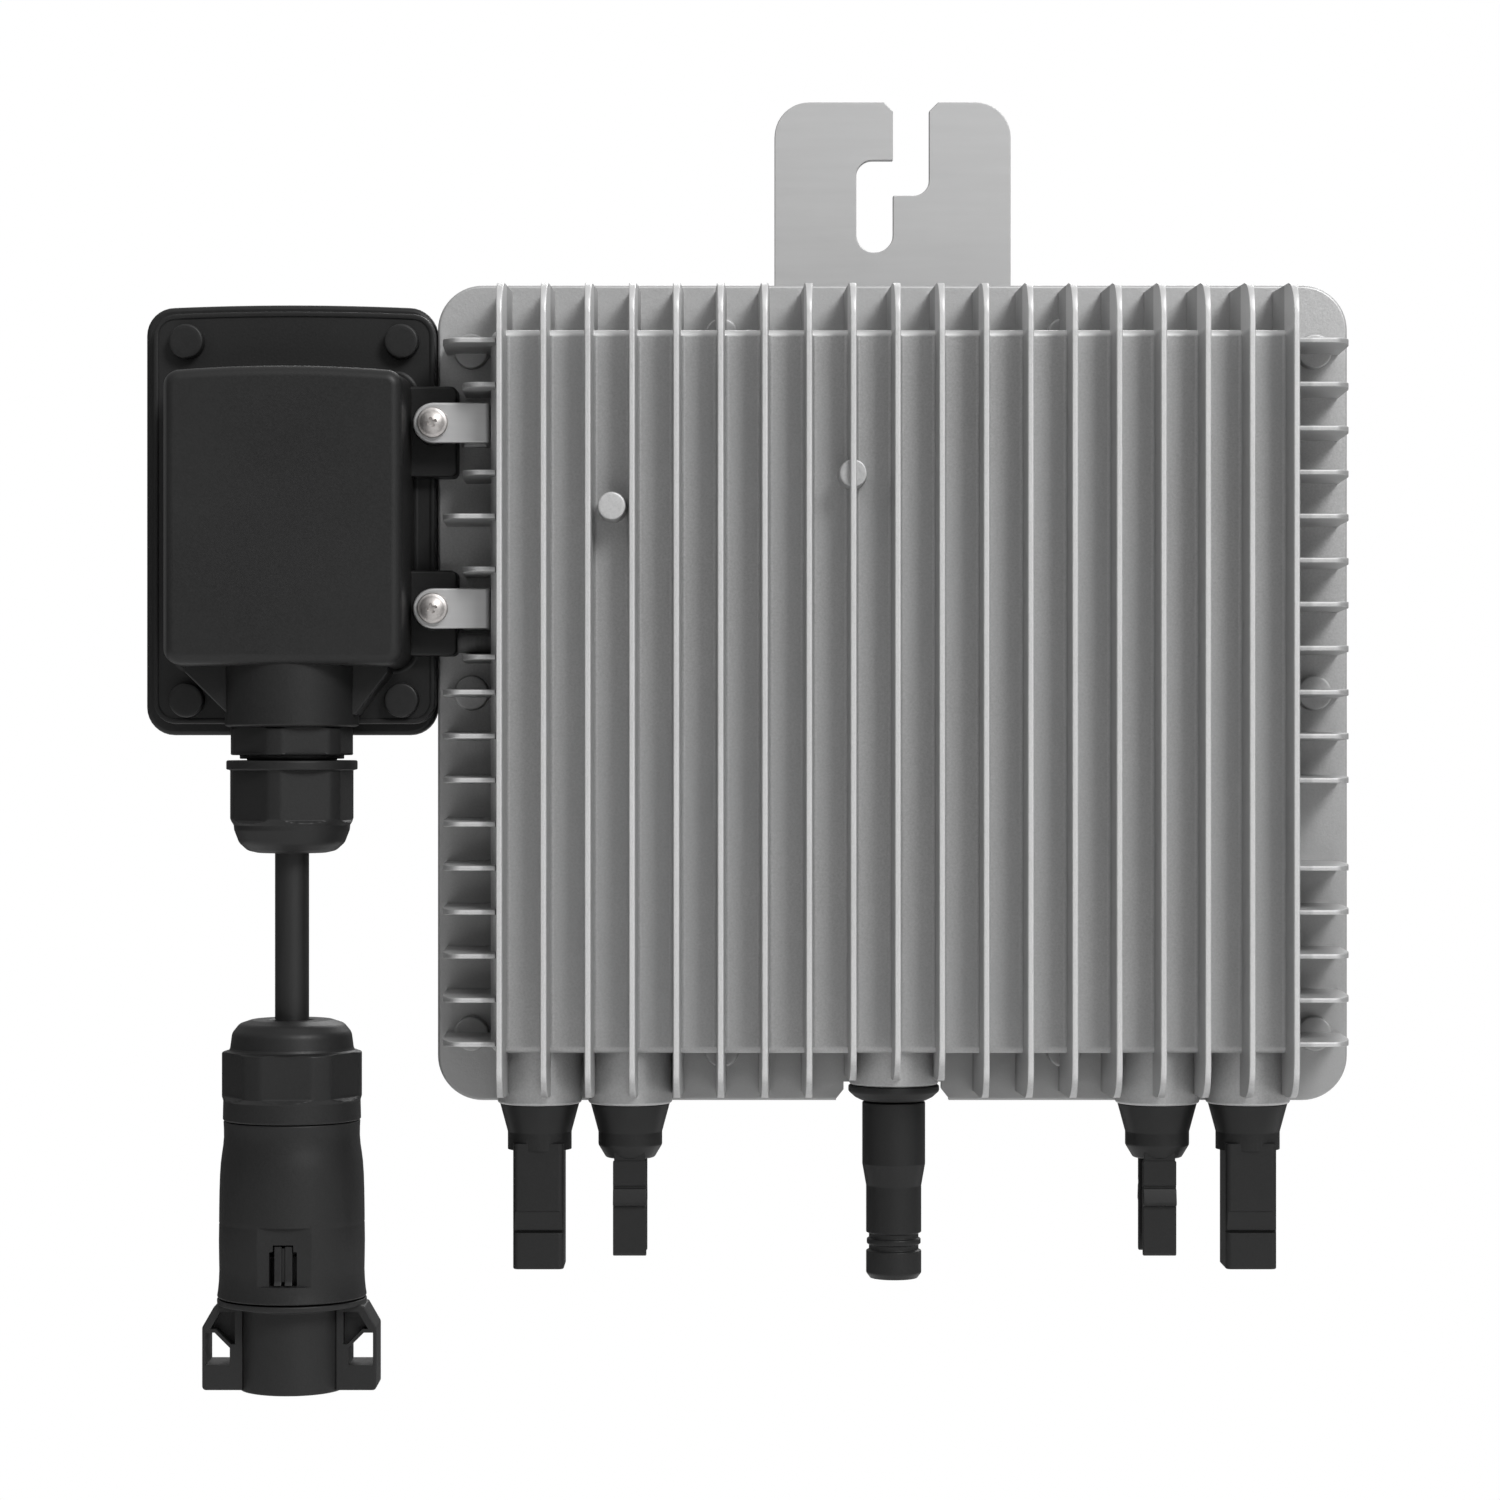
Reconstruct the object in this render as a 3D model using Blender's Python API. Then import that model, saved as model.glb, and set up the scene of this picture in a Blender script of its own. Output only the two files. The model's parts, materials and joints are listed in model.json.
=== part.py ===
# Solar string inverter with a finned die-cast case, side relay box, AC lead
# with plug, four DC connectors, stub antenna and a J-slot hanging bracket.
# Frame: origin on the back face of the hanging bracket, just below its slot,
# +Z up, the fins face -Y. Lengths below are in millimetres.
import bpy
import bmesh
import math
from mathutils import Vector

for _o in list(bpy.data.objects):
    bpy.data.objects.remove(_o, do_unlink=True)

MM = 0.001
GAP = 0.3                        # clearance between touching pieces

# ---- driving dimensions -------------------------------------------------
# depth stations
BRACKET_T = 2.5                  # hanging bracket, Y -2.5 .. 0
PLATE_Y0, PLATE_Y1 = -4.8, -2.8  # steel back plate
FL_Y0, FL_Y1 = -9.4, -5.1        # casting flange, front and back
BLOCK_Y = -28.5                  # front face of the raised block
FIN_Y = -40.0                    # fin tips
RIB_Y = -35.0                    # side rib tips
# casting outline
FL_X0, FL_X1, FL_Z0, FL_Z1, FL_R = -105.5, 105.5, -193.8, -4.7, 10.4
BL_X0, BL_X1, BL_Z0, BL_Z1 = -92.2, 92.2, -181.5, -16.8
CAV_X, CAV_Z0, CAV_Z1, CAV_Y = 89.3, -174.0, -24.5, -25.7
FIN_N, FIN_T, FIN_X, FIN_P = 19, 1.5, -89.46, 9.94
RIB_T, RIB_Z, RIB_P = 1.35, -19.93, 9.93
BOSS_X = (-81.5, -60.65, 60.65, 81.5)
BOSS_R, BOSS_Z, CONN_Y = 9.68, -194.3, -16.0
ANT_X, ANT_R, ANT_Z = 0.0, 10.22, -189.4
CASE_SCREWS = ((-97.55, -20.25), (-97.55, -99.3), (-97.55, -178.15),
               (97.55, -20.25), (97.55, -99.3), (97.55, -178.15),
               (-39.6, -16.6), (39.6, -16.6), (-39.6, -181.9), (39.6, -181.9))
BRACKET_SCREWS = ((-19.0, -9.5), (19.0, -9.5))
# relay box
RB_X0, RB_X1, RB_Z0, RB_Z1, RB_R = -173.3, -105.9, -109.1, -9.4, 6.5
RB_COVER_Y = (-8.0, -3.0)
RB_FL_Y = (-13.6, -8.3)
RB_FRONT = -38.0
RR_X0, RR_X1, RR_Z0, RR_Z1 = -166.0, -112.3, -93.9, -26.0
COLLAR_Z = -107.2                 # foot of the lead collar
RB_SCREWS = ((-162.9, -18.4), (-113.4, -18.4), (-162.9, -101.0), (-113.4, -101.0))
EARS = ((-28.9, -49.8), (-71.2, -90.9))
STRAP_Z = (-37.9, -80.2)
STRAP_W = 9.2
STRAP_X = -105.4                 # strap screws
# AC line
AC_X, AC_Y = -137.98, -21.0
CABLE_R = 3.93
CABLE_Z0, CABLE_Z1 = -184.2, -128.0      # ends of the outer lead tube


# ---- helpers -------------------------------------------------------------
# Connectors, gland and plug are laid out at nominal size. FIT = (x, y, scale)
# brings a piece to its true size about its own axis; it is None elsewhere.
FIT = None
FIT_Z = -109.04
CONN_FIT, AC_FIT = 0.9927, 0.9872


def material(name, colour, rough, metal):
    m = bpy.data.materials.get(name)
    if m is None:
        m = bpy.data.materials.new(name)
        m.use_nodes = True
        b = m.node_tree.nodes["Principled BSDF"]
        b.inputs["Base Color"].default_value = (*colour, 1.0)
        b.inputs["Roughness"].default_value = rough
        b.inputs["Metallic"].default_value = metal
    return m


MATS = {
    "cast": ((0.42, 0.42, 0.42), 0.5, 0.9),
    "steel": ((0.62, 0.62, 0.61), 0.35, 1.0),
    "black": ((0.03, 0.03, 0.032), 0.45, 0.0),
    "rubber": ((0.02, 0.02, 0.02), 0.7, 0.0),
    "board": ((0.03, 0.16, 0.07), 0.5, 0.0),
    "copper": ((0.72, 0.36, 0.16), 0.35, 1.0),
    "ferrite": ((0.07, 0.07, 0.075), 0.6, 0.0),
    "blue": ((0.05, 0.12, 0.45), 0.4, 0.0),
    "yellow": ((0.75, 0.55, 0.08), 0.4, 0.0),
}


def node(name, bm, mat, round_deg=None):
    if FIT:
        c = Vector((FIT[0], FIT[1], FIT_Z)) * MM
        for v in bm.verts:
            v.co = c + (v.co - c) * FIT[2]
    bmesh.ops.remove_doubles(bm, verts=bm.verts, dist=1e-7)
    bmesh.ops.recalc_face_normals(bm, faces=bm.faces)
    me = bpy.data.meshes.new(name)
    bm.to_mesh(me)
    bm.free()
    ob = bpy.data.objects.new(name, me)
    bpy.context.scene.collection.objects.link(ob)
    if mat:
        me.materials.append(material(mat + "_mat", *MATS[mat]))
    if round_deg:
        me.shade_smooth()
        me.set_sharp_from_angle(angle=math.radians(round_deg))
    return ob


def tool(name, bm, target, op):
    ob = node(name, bm, None)
    ob.hide_render = True
    ob.display_type = 'WIRE'
    m = target.modifiers.new(name, 'BOOLEAN')
    m.operation = op
    m.solver = 'EXACT'
    m.object = ob
    return ob


def prism(bm, pts, axis, a, b):
    """Extrude a polygon of (u, v) along an axis from a to b.
    axis Y: (u, v) = (x, z); axis X: (y, z); axis Z: (x, y)."""
    def co(u, v, w):
        if axis == 'Y':
            return Vector((u, w, v)) * MM
        if axis == 'X':
            return Vector((w, u, v)) * MM
        return Vector((u, v, w)) * MM
    lo = [bm.verts.new(co(u, v, a)) for u, v in pts]
    hi = [bm.verts.new(co(u, v, b)) for u, v in pts]
    n = len(pts)
    bm.faces.new(lo)
    bm.faces.new(hi[::-1])
    for i in range(n):
        j = (i + 1) % n
        bm.faces.new((lo[i], hi[i], hi[j], lo[j]))


def box(bm, x0, x1, y0, y1, z0, z1):
    prism(bm, [(x0, z0), (x1, z0), (x1, z1), (x0, z1)], 'Y', y0, y1)


def rrect(x0, x1, z0, z1, r, seg=6):
    pts = []
    for cx, cz, a0 in ((x1 - r, z1 - r, 0), (x0 + r, z1 - r, 90),
                       (x0 + r, z0 + r, 180), (x1 - r, z0 + r, 270)):
        for k in range(seg + 1):
            a = math.radians(a0 + 90.0 * k / seg)
            pts.append((cx + r * math.cos(a), cz + r * math.sin(a)))
    return pts


def circle(cx, cy, r, n, turn=0.0):
    return [(cx + r * math.cos(2 * math.pi * k / n + turn),
             cy + r * math.sin(2 * math.pi * k / n + turn)) for k in range(n)]


def lathe(bm, loop, cx, cy, n, turn=0.0):
    """Turn a closed profile of (radius, z) about a vertical axis. Points at
    radius 0 become single vertices."""
    rings = []
    for r, z in loop:
        if r < 1e-6:
            rings.append([bm.verts.new(Vector((cx, cy, z)) * MM)])
        else:
            rings.append([bm.verts.new(Vector((x, y, z)) * MM)
                          for x, y in circle(cx, cy, r, n, turn)])
    m = len(rings)
    for i in range(m):
        a, b = rings[i], rings[(i + 1) % m]
        if len(a) == 1 and len(b) == 1:
            continue
        for k in range(n):
            j = (k + 1) % n
            if len(a) == 1:
                bm.faces.new((a[0], b[k], b[j]))
            elif len(b) == 1:
                bm.faces.new((a[k], b[0], a[j]))
            else:
                bm.faces.new((a[k], b[k], b[j], a[j]))


def lathe_y(bm, loop, cx, cz, n, turn=0.0):
    """Turn a closed profile of (radius, y) about an axis along Y."""
    rings = []
    for r, y in loop:
        if r < 1e-6:
            rings.append([bm.verts.new(Vector((cx, y, cz)) * MM)])
        else:
            rings.append([bm.verts.new(Vector((x, y, z)) * MM)
                          for x, z in circle(cx, cz, r, n, turn)])
    m = len(rings)
    for i in range(m):
        a, b = rings[i], rings[(i + 1) % m]
        if len(a) == 1 and len(b) == 1:
            continue
        for k in range(n):
            j = (k + 1) % n
            if len(a) == 1:
                bm.faces.new((a[0], b[k], b[j]))
            elif len(b) == 1:
                bm.faces.new((a[k], b[0], a[j]))
            else:
                bm.faces.new((a[k], b[k], b[j], a[j]))


def pan_screw(name, x, z, y_seat, y_tip, r_head=3.4, h=2.1, r=1.6, back=True):
    """Pan-head screw along Y. back=True: head behind its seat (+Y side)."""
    s = 1.0 if back else -1.0
    loop = [(0, y_tip), (r, y_tip + s * 0.8), (r, y_seat),
            (r_head, y_seat), (r_head, y_seat + s * h * 0.55),
            (r_head * 0.62, y_seat + s * h), (0, y_seat + s * h)]
    bm = bmesh.new()
    lathe_y(bm, loop, x, z, 10)
    return node(name, bm, "steel", 40)


# ---- front housing -------------------------------------------------------
bm = bmesh.new()
prism(bm, rrect(FL_X0, FL_X1, FL_Z0, FL_Z1, FL_R, 5), 'Y', FL_Y0, FL_Y1)
housing = node("front_housing", bm, "cast", 35)

bm = bmesh.new()
c = 1.2
outer = rrect(BL_X0, BL_X1, BL_Z0, BL_Z1, 2.0, 2)
inner = rrect(BL_X0 + c, BL_X1 - c, BL_Z0 + c, BL_Z1 - c, 1.2, 2)
rings = [[bm.verts.new(Vector((x, y, z)) * MM) for x, z in pts]
         for pts, y in ((outer, FL_Y0 + 1.5), (outer, BLOCK_Y + c), (inner, BLOCK_Y))]
bm.faces.new(rings[0])
bm.faces.new(rings[2][::-1])
for a, b in zip(rings, rings[1:]):
    for i in range(len(a)):
        j = (i + 1) % len(a)
        bm.faces.new((a[i], b[i], b[j], a[j]))
tool("cut_block", bm, housing, 'UNION')

# round casting bosses for the DC connectors and the antenna
bm = bmesh.new()
for i, x in enumerate(BOSS_X):
    prism(bm, circle(x, CONN_Y, BOSS_R, 18), 'Z', BOSS_Z, -178.0)
prism(bm, circle(ANT_X, CONN_Y, ANT_R, 18), 'Z', ANT_Z, -178.0)
tool("cut_bosses", bm, housing, 'UNION')

# notch of the flange at the antenna
bm = bmesh.new()
prism(bm, [(-13.1, -196.0), (13.1, -196.0), (13.1, -193.5), (11.3, -190.9), (11.3, ANT_Z),
           (-11.3, ANT_Z), (-11.3, -190.9), (-13.1, -193.5)], 'Y', -30.0, 0.0)
tool("cut_notch", bm, housing, 'DIFFERENCE')


def fin_profile(z0, z1, tip):
    """Outline in (y, z): steep ends, and long rounded corners at the crest."""
    base = FL_Y0 + 1.2
    end = [(0.0, base), (0.5, tip + 8.5), (1.8, tip + 4.4), (4.2, tip + 1.5), (8.2, tip)]
    return [(y, z1 - d) for d, y in end] + [(y, z0 + d) for d, y in end[::-1]]


FIN_CENTRES = [FIN_X + FIN_P * i for i in range(FIN_N)]
bm = bmesh.new()
for i, x in enumerate(FIN_CENTRES):
    z0 = -187.6 if i in (8, 9, 10) else -191.6
    prism(bm, fin_profile(z0, -6.3, FIN_Y), 'X', x - FIN_T / 2, x + FIN_T / 2)
tool("cut_fins", bm, housing, 'UNION')


def rib_profile(side):
    """Outline in (x, y) of a side rib, from inside the block to the flange edge."""
    if side > 0:
        e = FL_X1 - 2.1
        return [(BL_X1 - 1.5, FL_Y0 + 1.2), (e, FL_Y0 + 1.2), (e, -26.0),
                (e - 1.5, -32.6), (e - 4.6, RIB_Y), (BL_X1 - 1.5, RIB_Y)]
    e = FL_X0 + 2.1
    return [(BL_X0 + 1.5, FL_Y0 + 1.2), (e, FL_Y0 + 1.2), (e, -26.0),
            (e + 1.5, -32.6), (e + 4.6, RIB_Y), (BL_X0 + 1.5, RIB_Y)]


RIGHT_RIBS = [RIB_Z - RIB_P * k for k in range(17) if k != 11]
LEFT_RIBS = [RIB_Z - RIB_P * k for k in (0, 8, 9, 10, 11, 12, 13, 14, 15, 16)]
LEFT_MID = [RIB_Z - RIB_P * 4]
LEFT_SHORT = [RIB_Z - RIB_P * 1, RIB_Z - RIB_P * 3, RIB_Z - RIB_P * 5.2, RIB_Z - RIB_P * 7.2]
bm = bmesh.new()
for z in RIGHT_RIBS:
    prism(bm, rib_profile(1), 'Z', z - RIB_T / 2, z + RIB_T / 2)
for z in LEFT_RIBS + LEFT_MID:
    prism(bm, rib_profile(-1), 'Z', z - RIB_T / 2, z + RIB_T / 2)
# ribs beside the relay box ears stop short of them
for z in LEFT_SHORT:
    e = -98.9
    prism(bm, [(BL_X0 + 1.5, FL_Y0 + 1.2), (e, FL_Y0 + 1.2), (e, -27.0), (e + 1.2, -32.0),
               (e + 3.4, -34.0), (BL_X0 + 1.5, -34.0)], 'Z', z - RIB_T / 2, z + RIB_T / 2)
tool("cut_ribs", bm, housing, 'UNION')

# blind screw bosses on the flange and the two round posts
bm = bmesh.new()
for x, z in CASE_SCREWS:
    prism(bm, circle(x, z, 4.0, 10), 'Y', -12.4, FL_Y0 + 1.0)
for x, z, y in ((-64.24, -57.56, -39.3), (-9.94, -50.15, -38.2)):
    prism(bm, circle(x, z, 3.2, 14), 'Y', y, BLOCK_Y + 1.0)
tool("cut_posts", bm, housing, 'UNION')

# cavity, with four board pillars left standing
bm = bmesh.new()
prism(bm, rrect(-CAV_X, CAV_X, CAV_Z0, CAV_Z1, 4.0, 2), 'Y', CAV_Y, FL_Y1 + 1.0)
tool("cut_cavity", bm, housing, 'DIFFERENCE')
PILLARS = [(sx * 78.0, z) for sx in (-1, 1) for z in (-34.5, -164.0)]
bm = bmesh.new()
for x, z in PILLARS:
    prism(bm, circle(x, z, 3.5, 8), 'Y', CAV_Y - 1.0, -9.1)
tool("cut_pillars", bm, housing, 'UNION')

# seal groove, screw holes, connector and lead bores
SEAL_W, SEAL_D = 2.8, 1.2
SX, SZ0, SZ1 = 92.4, -177.0, -21.6       # seal centreline
bm = bmesh.new()
w = SEAL_W / 2 + GAP
go = rrect(-SX - w, SX + w, SZ0 - w, SZ1 + w, 5.0 + w, 3)
gi = rrect(-SX + w, SX - w, SZ0 + w, SZ1 - w, 5.0 - w, 3)
vo = [[bm.verts.new(Vector((x, y, z)) * MM) for x, z in go] for y in (FL_Y1 - SEAL_D - GAP, FL_Y1 + 0.5)]
vi = [[bm.verts.new(Vector((x, y, z)) * MM) for x, z in gi] for y in (FL_Y1 - SEAL_D - GAP, FL_Y1 + 0.5)]
n = len(go)
for i in range(n):
    j = (i + 1) % n
    bm.faces.new((vo[0][i], vo[0][j], vo[1][j], vo[1][i]))
    bm.faces.new((vi[0][i], vi[1][i], vi[1][j], vi[0][j]))
    bm.faces.new((vo[0][i], vi[0][i], vi[0][j], vo[0][j]))
    bm.faces.new((vo[1][i], vo[1][j], vi[1][j], vi[1][i]))
tool("cut_groove", bm, housing, 'DIFFERENCE')

bm = bmesh.new()
for x, z in CASE_SCREWS:
    prism(bm, circle(x, z, 1.95, 8), 'Y', -11.2, 0.0)
for x, z in BRACKET_SCREWS:
    prism(bm, circle(x, z, 1.95, 8), 'Y', -8.6, 0.0)
tool("cut_screw_holes", bm, housing, 'DIFFERENCE')
bm = bmesh.new()
for x in BOSS_X:
    prism(bm, circle(x, CONN_Y, 6.45, 14), 'Z', BOSS_Z - 1.0, CAV_Z0 + 4.0)
prism(bm, circle(ANT_X, CONN_Y, 4.5, 12), 'Z', ANT_Z - 1.0, CAV_Z0 + 4.0)
tool("cut_bores", bm, housing, 'DIFFERENCE')
LINK_Z, LINK_Y = -87.8, -14.5
bm = bmesh.new()
prism(bm, circle(LINK_Y, LINK_Z, 2.65, 10), 'X', -96.0, -CAV_X + 1.0)
tool("cut_link_bore", bm, housing, 'DIFFERENCE')

# ---- housing seal --------------------------------------------------------
bm = bmesh.new()
w = SEAL_W / 2
go = rrect(-SX - w, SX + w, SZ0 - w, SZ1 + w, 5.0 + w, 3)
gi = rrect(-SX + w, SX - w, SZ0 + w, SZ1 - w, 5.0 - w, 3)
ys = (FL_Y1 - SEAL_D, FL_Y1)
vo = [[bm.verts.new(Vector((x, y, z)) * MM) for x, z in go] for y in ys]
vi = [[bm.verts.new(Vector((x, y, z)) * MM) for x, z in gi] for y in ys]
for i in range(n):
    j = (i + 1) % n
    bm.faces.new((vo[0][i], vo[0][j], vo[1][j], vo[1][i]))
    bm.faces.new((vi[0][i], vi[1][i], vi[1][j], vi[0][j]))
    bm.faces.new((vo[0][i], vi[0][i], vi[0][j], vo[0][j]))
    bm.faces.new((vo[1][i], vo[1][j], vi[1][j], vi[1][i]))
node("housing_seal", bm, "rubber")

# ---- back plate and bracket ---------------------------------------------
bm = bmesh.new()
prism(bm, rrect(-104.6, 104.6, -189.6, -5.6, 9.6, 5), 'Y', PLATE_Y0, PLATE_Y1)
plate = node("back_plate", bm, "steel", 35)
bm = bmesh.new()
for x, z in CASE_SCREWS + BRACKET_SCREWS:
    prism(bm, circle(x, z, 1.95, 8), 'Y', -6.0, 0.0)
tool("cut_plate_holes", bm, plate, 'DIFFERENCE')


def bracket_outline():
    x0, x1, top = -27.3, 27.9, 38.9
    pts = [(x0, -62.0), (x1, -62.0)]
    r = 8.16

    def arc(cx, cz, rad, a0, a1, k=5):
        for i in range(k + 1):
            a = math.radians(a0 + (a1 - a0) * i / k)
            pts.append((cx + rad * math.cos(a), cz + rad * math.sin(a)))
    arc(x1 - r, top - r, r, 0, 90)
    # slot entry, right side down
    sl, sr = 0.38, 8.84                   # sides of the entry
    pts.append((sr + 2.1, top))
    pts.append((sr, top - 2.1))
    arc(sr - 3.7, 17.06 + 3.7, 3.7, 0, -90, 4)
    pts.append((sl, 17.06))
    # hanging end, half round
    arc(sl - 4.28, 8.09, 4.28, 0, -180, 8)
    arc(sl - 8.56 + 3.7, 25.32 - 3.7, 3.7, 180, 90, 4)
    pts.append((sl, 25.32))
    pts.append((sl, top - 2.1))
    pts.append((sl - 2.1, top))
    arc(x0 + r, top - r, r, 90, 180)
    return pts


bm = bmesh.new()
prism(bm, bracket_outline(), 'Y', -BRACKET_T, 0.0)
bracket = node("mounting_bracket", bm, "steel", 35)
bm = bmesh.new()
for x, z in BRACKET_SCREWS:
    lathe_y(bm, [(0, -3.5), (2.0, -3.5), (2.0, -2.4), (4.3, 0.0), (4.3, 0.6), (0, 0.6)], x, z, 12)
tool("cut_bracket_holes", bm, bracket, 'DIFFERENCE')
for i, (x, z) in enumerate(BRACKET_SCREWS):
    bm = bmesh.new()
    lathe_y(bm, [(0, -8.1), (1.0, -8.1), (1.6, -7.4), (1.6, -2.35), (3.8, -0.15), (1.2, -0.15), (0, -1.2)],
            x, z, 12)
    node("bracket_screw_%d" % (i + 1), bm, "steel", 40)

for i, (x, z) in enumerate(CASE_SCREWS):
    pan_screw("case_screw_%02d" % (i + 1), x, z, PLATE_Y1 + GAP, -10.7)

# ---- electronics inside the case ------------------------------------------
bm = bmesh.new()
prism(bm, rrect(-84.0, 84.0, -169.0, -29.5, 2.0, 2), 'Y', -8.8, -7.2)
node("main_pcb", bm, "board")


def core(name, cx, cz):
    """Ferrite frame with two windows, thickness along Y."""
    bm = bmesh.new()
    box(bm, cx - 20, cx + 20, -20.0, -12.0, cz - 16, cz + 16)
    ob = node(name, bm, "ferrite")
    bm = bmesh.new()
    box(bm, cx - 14, cx + 14, -22.0, -10.0, cz + 4.0, cz + 12.0)
    box(bm, cx - 14, cx + 14, -22.0, -10.0, cz - 12.0, cz - 4.0)
    tool("cut_" + name, bm, ob, 'DIFFERENCE')


def winding(name, cx, cz):
    bm = bmesh.new()
    o = rrect(-22.2, -9.6, cz - 7.6, cz + 7.6, 2.4, 3)
    i_ = rrect(-20.4, -11.6, cz - 4.4, cz + 4.4, 0.8, 3)
    vo = [[bm.verts.new(Vector((x, y, z)) * MM) for y, z in o] for x in (cx - 12, cx + 12)]
    vi = [[bm.verts.new(Vector((x, y, z)) * MM) for y, z in i_] for x in (cx - 12, cx + 12)]
    n = len(o)
    for a in range(n):
        b = (a + 1) % n
        bm.faces.new((vo[0][a], vo[0][b], vo[1][b], vo[1][a]))
        bm.faces.new((vi[0][a], vi[1][a], vi[1][b], vi[0][b]))
        bm.faces.new((vo[0][a], vi[0][a], vi[0][b], vo[0][b]))
        bm.faces.new((vo[1][a], vo[1][b], vi[1][b], vi[1][a]))
    node(name, bm, "copper")


for nm, cx in (("left", -42.0), ("right", 42.0)):
    core("transformer_core_" + nm, cx, -108.0)
    winding("transformer_winding_" + nm, cx, -108.0)
for nm, cx in (("left", -71.0), ("right", 72.0)):
    bm = bmesh.new()
    lathe(bm, [(0, -157.5), (5.9, -157.5), (6.4, -157.0), (6.4, -139.0), (5.8, -138.3), (6.4, -137.6),
               (6.4, -136.5), (5.9, -136.0), (0, -136.0)], cx, CONN_Y, 12)
    node("dc_capacitor_" + nm, bm, "black", 40)
bm = bmesh.new()
loop = [(13.0 + 4.2 * math.cos(a), CONN_Y + 5.6 * math.sin(a))
        for a in [2 * math.pi * k / 6 for k in range(6)]]
rings = []
lathe_y(bm, [(r - 3.0, y) for r, y in loop], -40.0, -56.0, 16)
node("output_choke", bm, "copper", 60)
bm = bmesh.new()
box(bm, -9.0, 9.0, -10.4, -9.2, -166.0, -142.0)
wifi = node("wifi_module", bm, "board")
bm = bmesh.new()
box(bm, -7.5, 7.5, -12.8, -10.0, -161.5, -143.5)
tool("cut_wifi_shield", bm, wifi, 'UNION')

# ---- DC connectors --------------------------------------------------------
SOCKET_X = (BOSS_X[0], BOSS_X[3])
PLUG_X = (BOSS_X[1], BOSS_X[2])
SIDES = ("left", "right")
CZ = -195.2                               # seat of the connectors, nominal
for nm, x in zip(SIDES, SOCKET_X):
    FIT = (x, CONN_Y, CONN_FIT)
    bm = bmesh.new()
    lathe(bm, [(0, -171.2), (6.05, -171.2), (6.05, CZ), (9.2, CZ), (7.4, -200.9), (7.4, -204.7), (0, -204.7)],
          x, CONN_Y, 18)
    ob = node("dc_socket_" + nm, bm, "black", 35)
    bm = bmesh.new()
    prism(bm, rrect(x - 6.05, x + 6.05, CONN_Y - 7.0, CONN_Y + 7.0, 2.4, 3), 'Z', -232.1, -203.0)
    tool("cut_socket_barrel_" + nm, bm, ob, 'UNION')
    # locking window through the front and back walls and the mating bore
    bm = bmesh.new()
    prism(bm, rrect(x - 4.4, x + 4.4, CONN_Y - 4.9, CONN_Y + 4.9, 1.6, 2), 'Z', -234.0, -212.0)
    tool("cut_socket_bore_" + nm, bm, ob, 'DIFFERENCE')
    bm = bmesh.new()
    box(bm, x - 3.0, x + 3.0, CONN_Y - 9.0, CONN_Y + 9.0, -224.9, -220.1)
    tool("cut_socket_window_" + nm, bm, ob, 'DIFFERENCE')
    bm = bmesh.new()
    lathe(bm, [(0, -206.0), (2.0, -206.0), (2.0, -226.0), (1.3, -226.6), (0, -226.6)], x, CONN_Y, 12)
    tool("cut_socket_pin_" + nm, bm, ob, 'UNION')

ARM_Z0, ARM_Z1 = -229.1, -207.3
for nm, x in zip(SIDES, PLUG_X):
    FIT = (x, CONN_Y, CONN_FIT)
    bm = bmesh.new()
    lathe(bm, [(0, -171.2), (6.05, -171.2), (6.05, CZ), (9.2, CZ), (7.4, -200.9), (7.4, -203.9), (5.6, -206.9),
               (2.6, -206.9), (2.6, -227.0), (1.5, -227.0), (1.5, -212.0), (0, -212.0)], x, CONN_Y, 16)
    node("dc_plug_" + nm, bm, "black", 35)
    for side, s in (("front", -1.0), ("back", 1.0)):
        bm = bmesh.new()
        y = CONN_Y
        arm = [(y + s * 4.2, ARM_Z1), (y + s * 4.2, -228.5), (y + s * 4.6, ARM_Z0), (y + s * 5.6, ARM_Z0),
               (y + s * 5.9, -228.6), (y + s * 5.9, -218.4), (y + s * 7.0, -218.2), (y + s * 7.0, -217.2),
               (y + s * 5.9, -214.8), (y + s * 5.9, ARM_Z1)]
        prism(bm, arm, 'X', x - 3.85, x + 3.85)
        node("latch_arm_%s_%s" % (nm, side), bm, "black")

# ---- antenna --------------------------------------------------------------
FIT = (ANT_X, CONN_Y, CONN_FIT)
bm = bmesh.new()
lathe(bm, [(4.75, -190.3), (10.3, -190.3), (10.55, -191.2), (10.55, -193.2), (10.2, -193.7), (4.75, -193.7)],
      ANT_X, CONN_Y, 16)
node("antenna_seal", bm, "rubber", 40)
bm = bmesh.new()
lathe(bm, [(0, -171.2), (4.1, -171.2), (4.1, -194.0), (7.3, -194.0), (7.3, -208.3), (6.4, -213.4), (6.4, -224.0),
           (5.8, -224.4), (5.8, -225.4), (6.25, -225.8), (6.25, -226.8), (5.8, -227.2), (5.8, -228.2), (6.4, -228.6),
           (6.4, -233.6), (5.6, -234.8), (0, -234.8)], ANT_X, CONN_Y, 18)
node("antenna_stub", bm, "black", 30)

# ---- relay box --------------------------------------------------------------
FIT = None
bm = bmesh.new()
prism(bm, rrect(RB_X0 + 1.1, RB_X1 - 0.6, RB_Z0 + 1.0, RB_Z1 - 1.0, RB_R - 1.0, 5), 'Y', *RB_FL_Y)
rb = node("relay_box_housing", bm, "black", 35)


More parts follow.
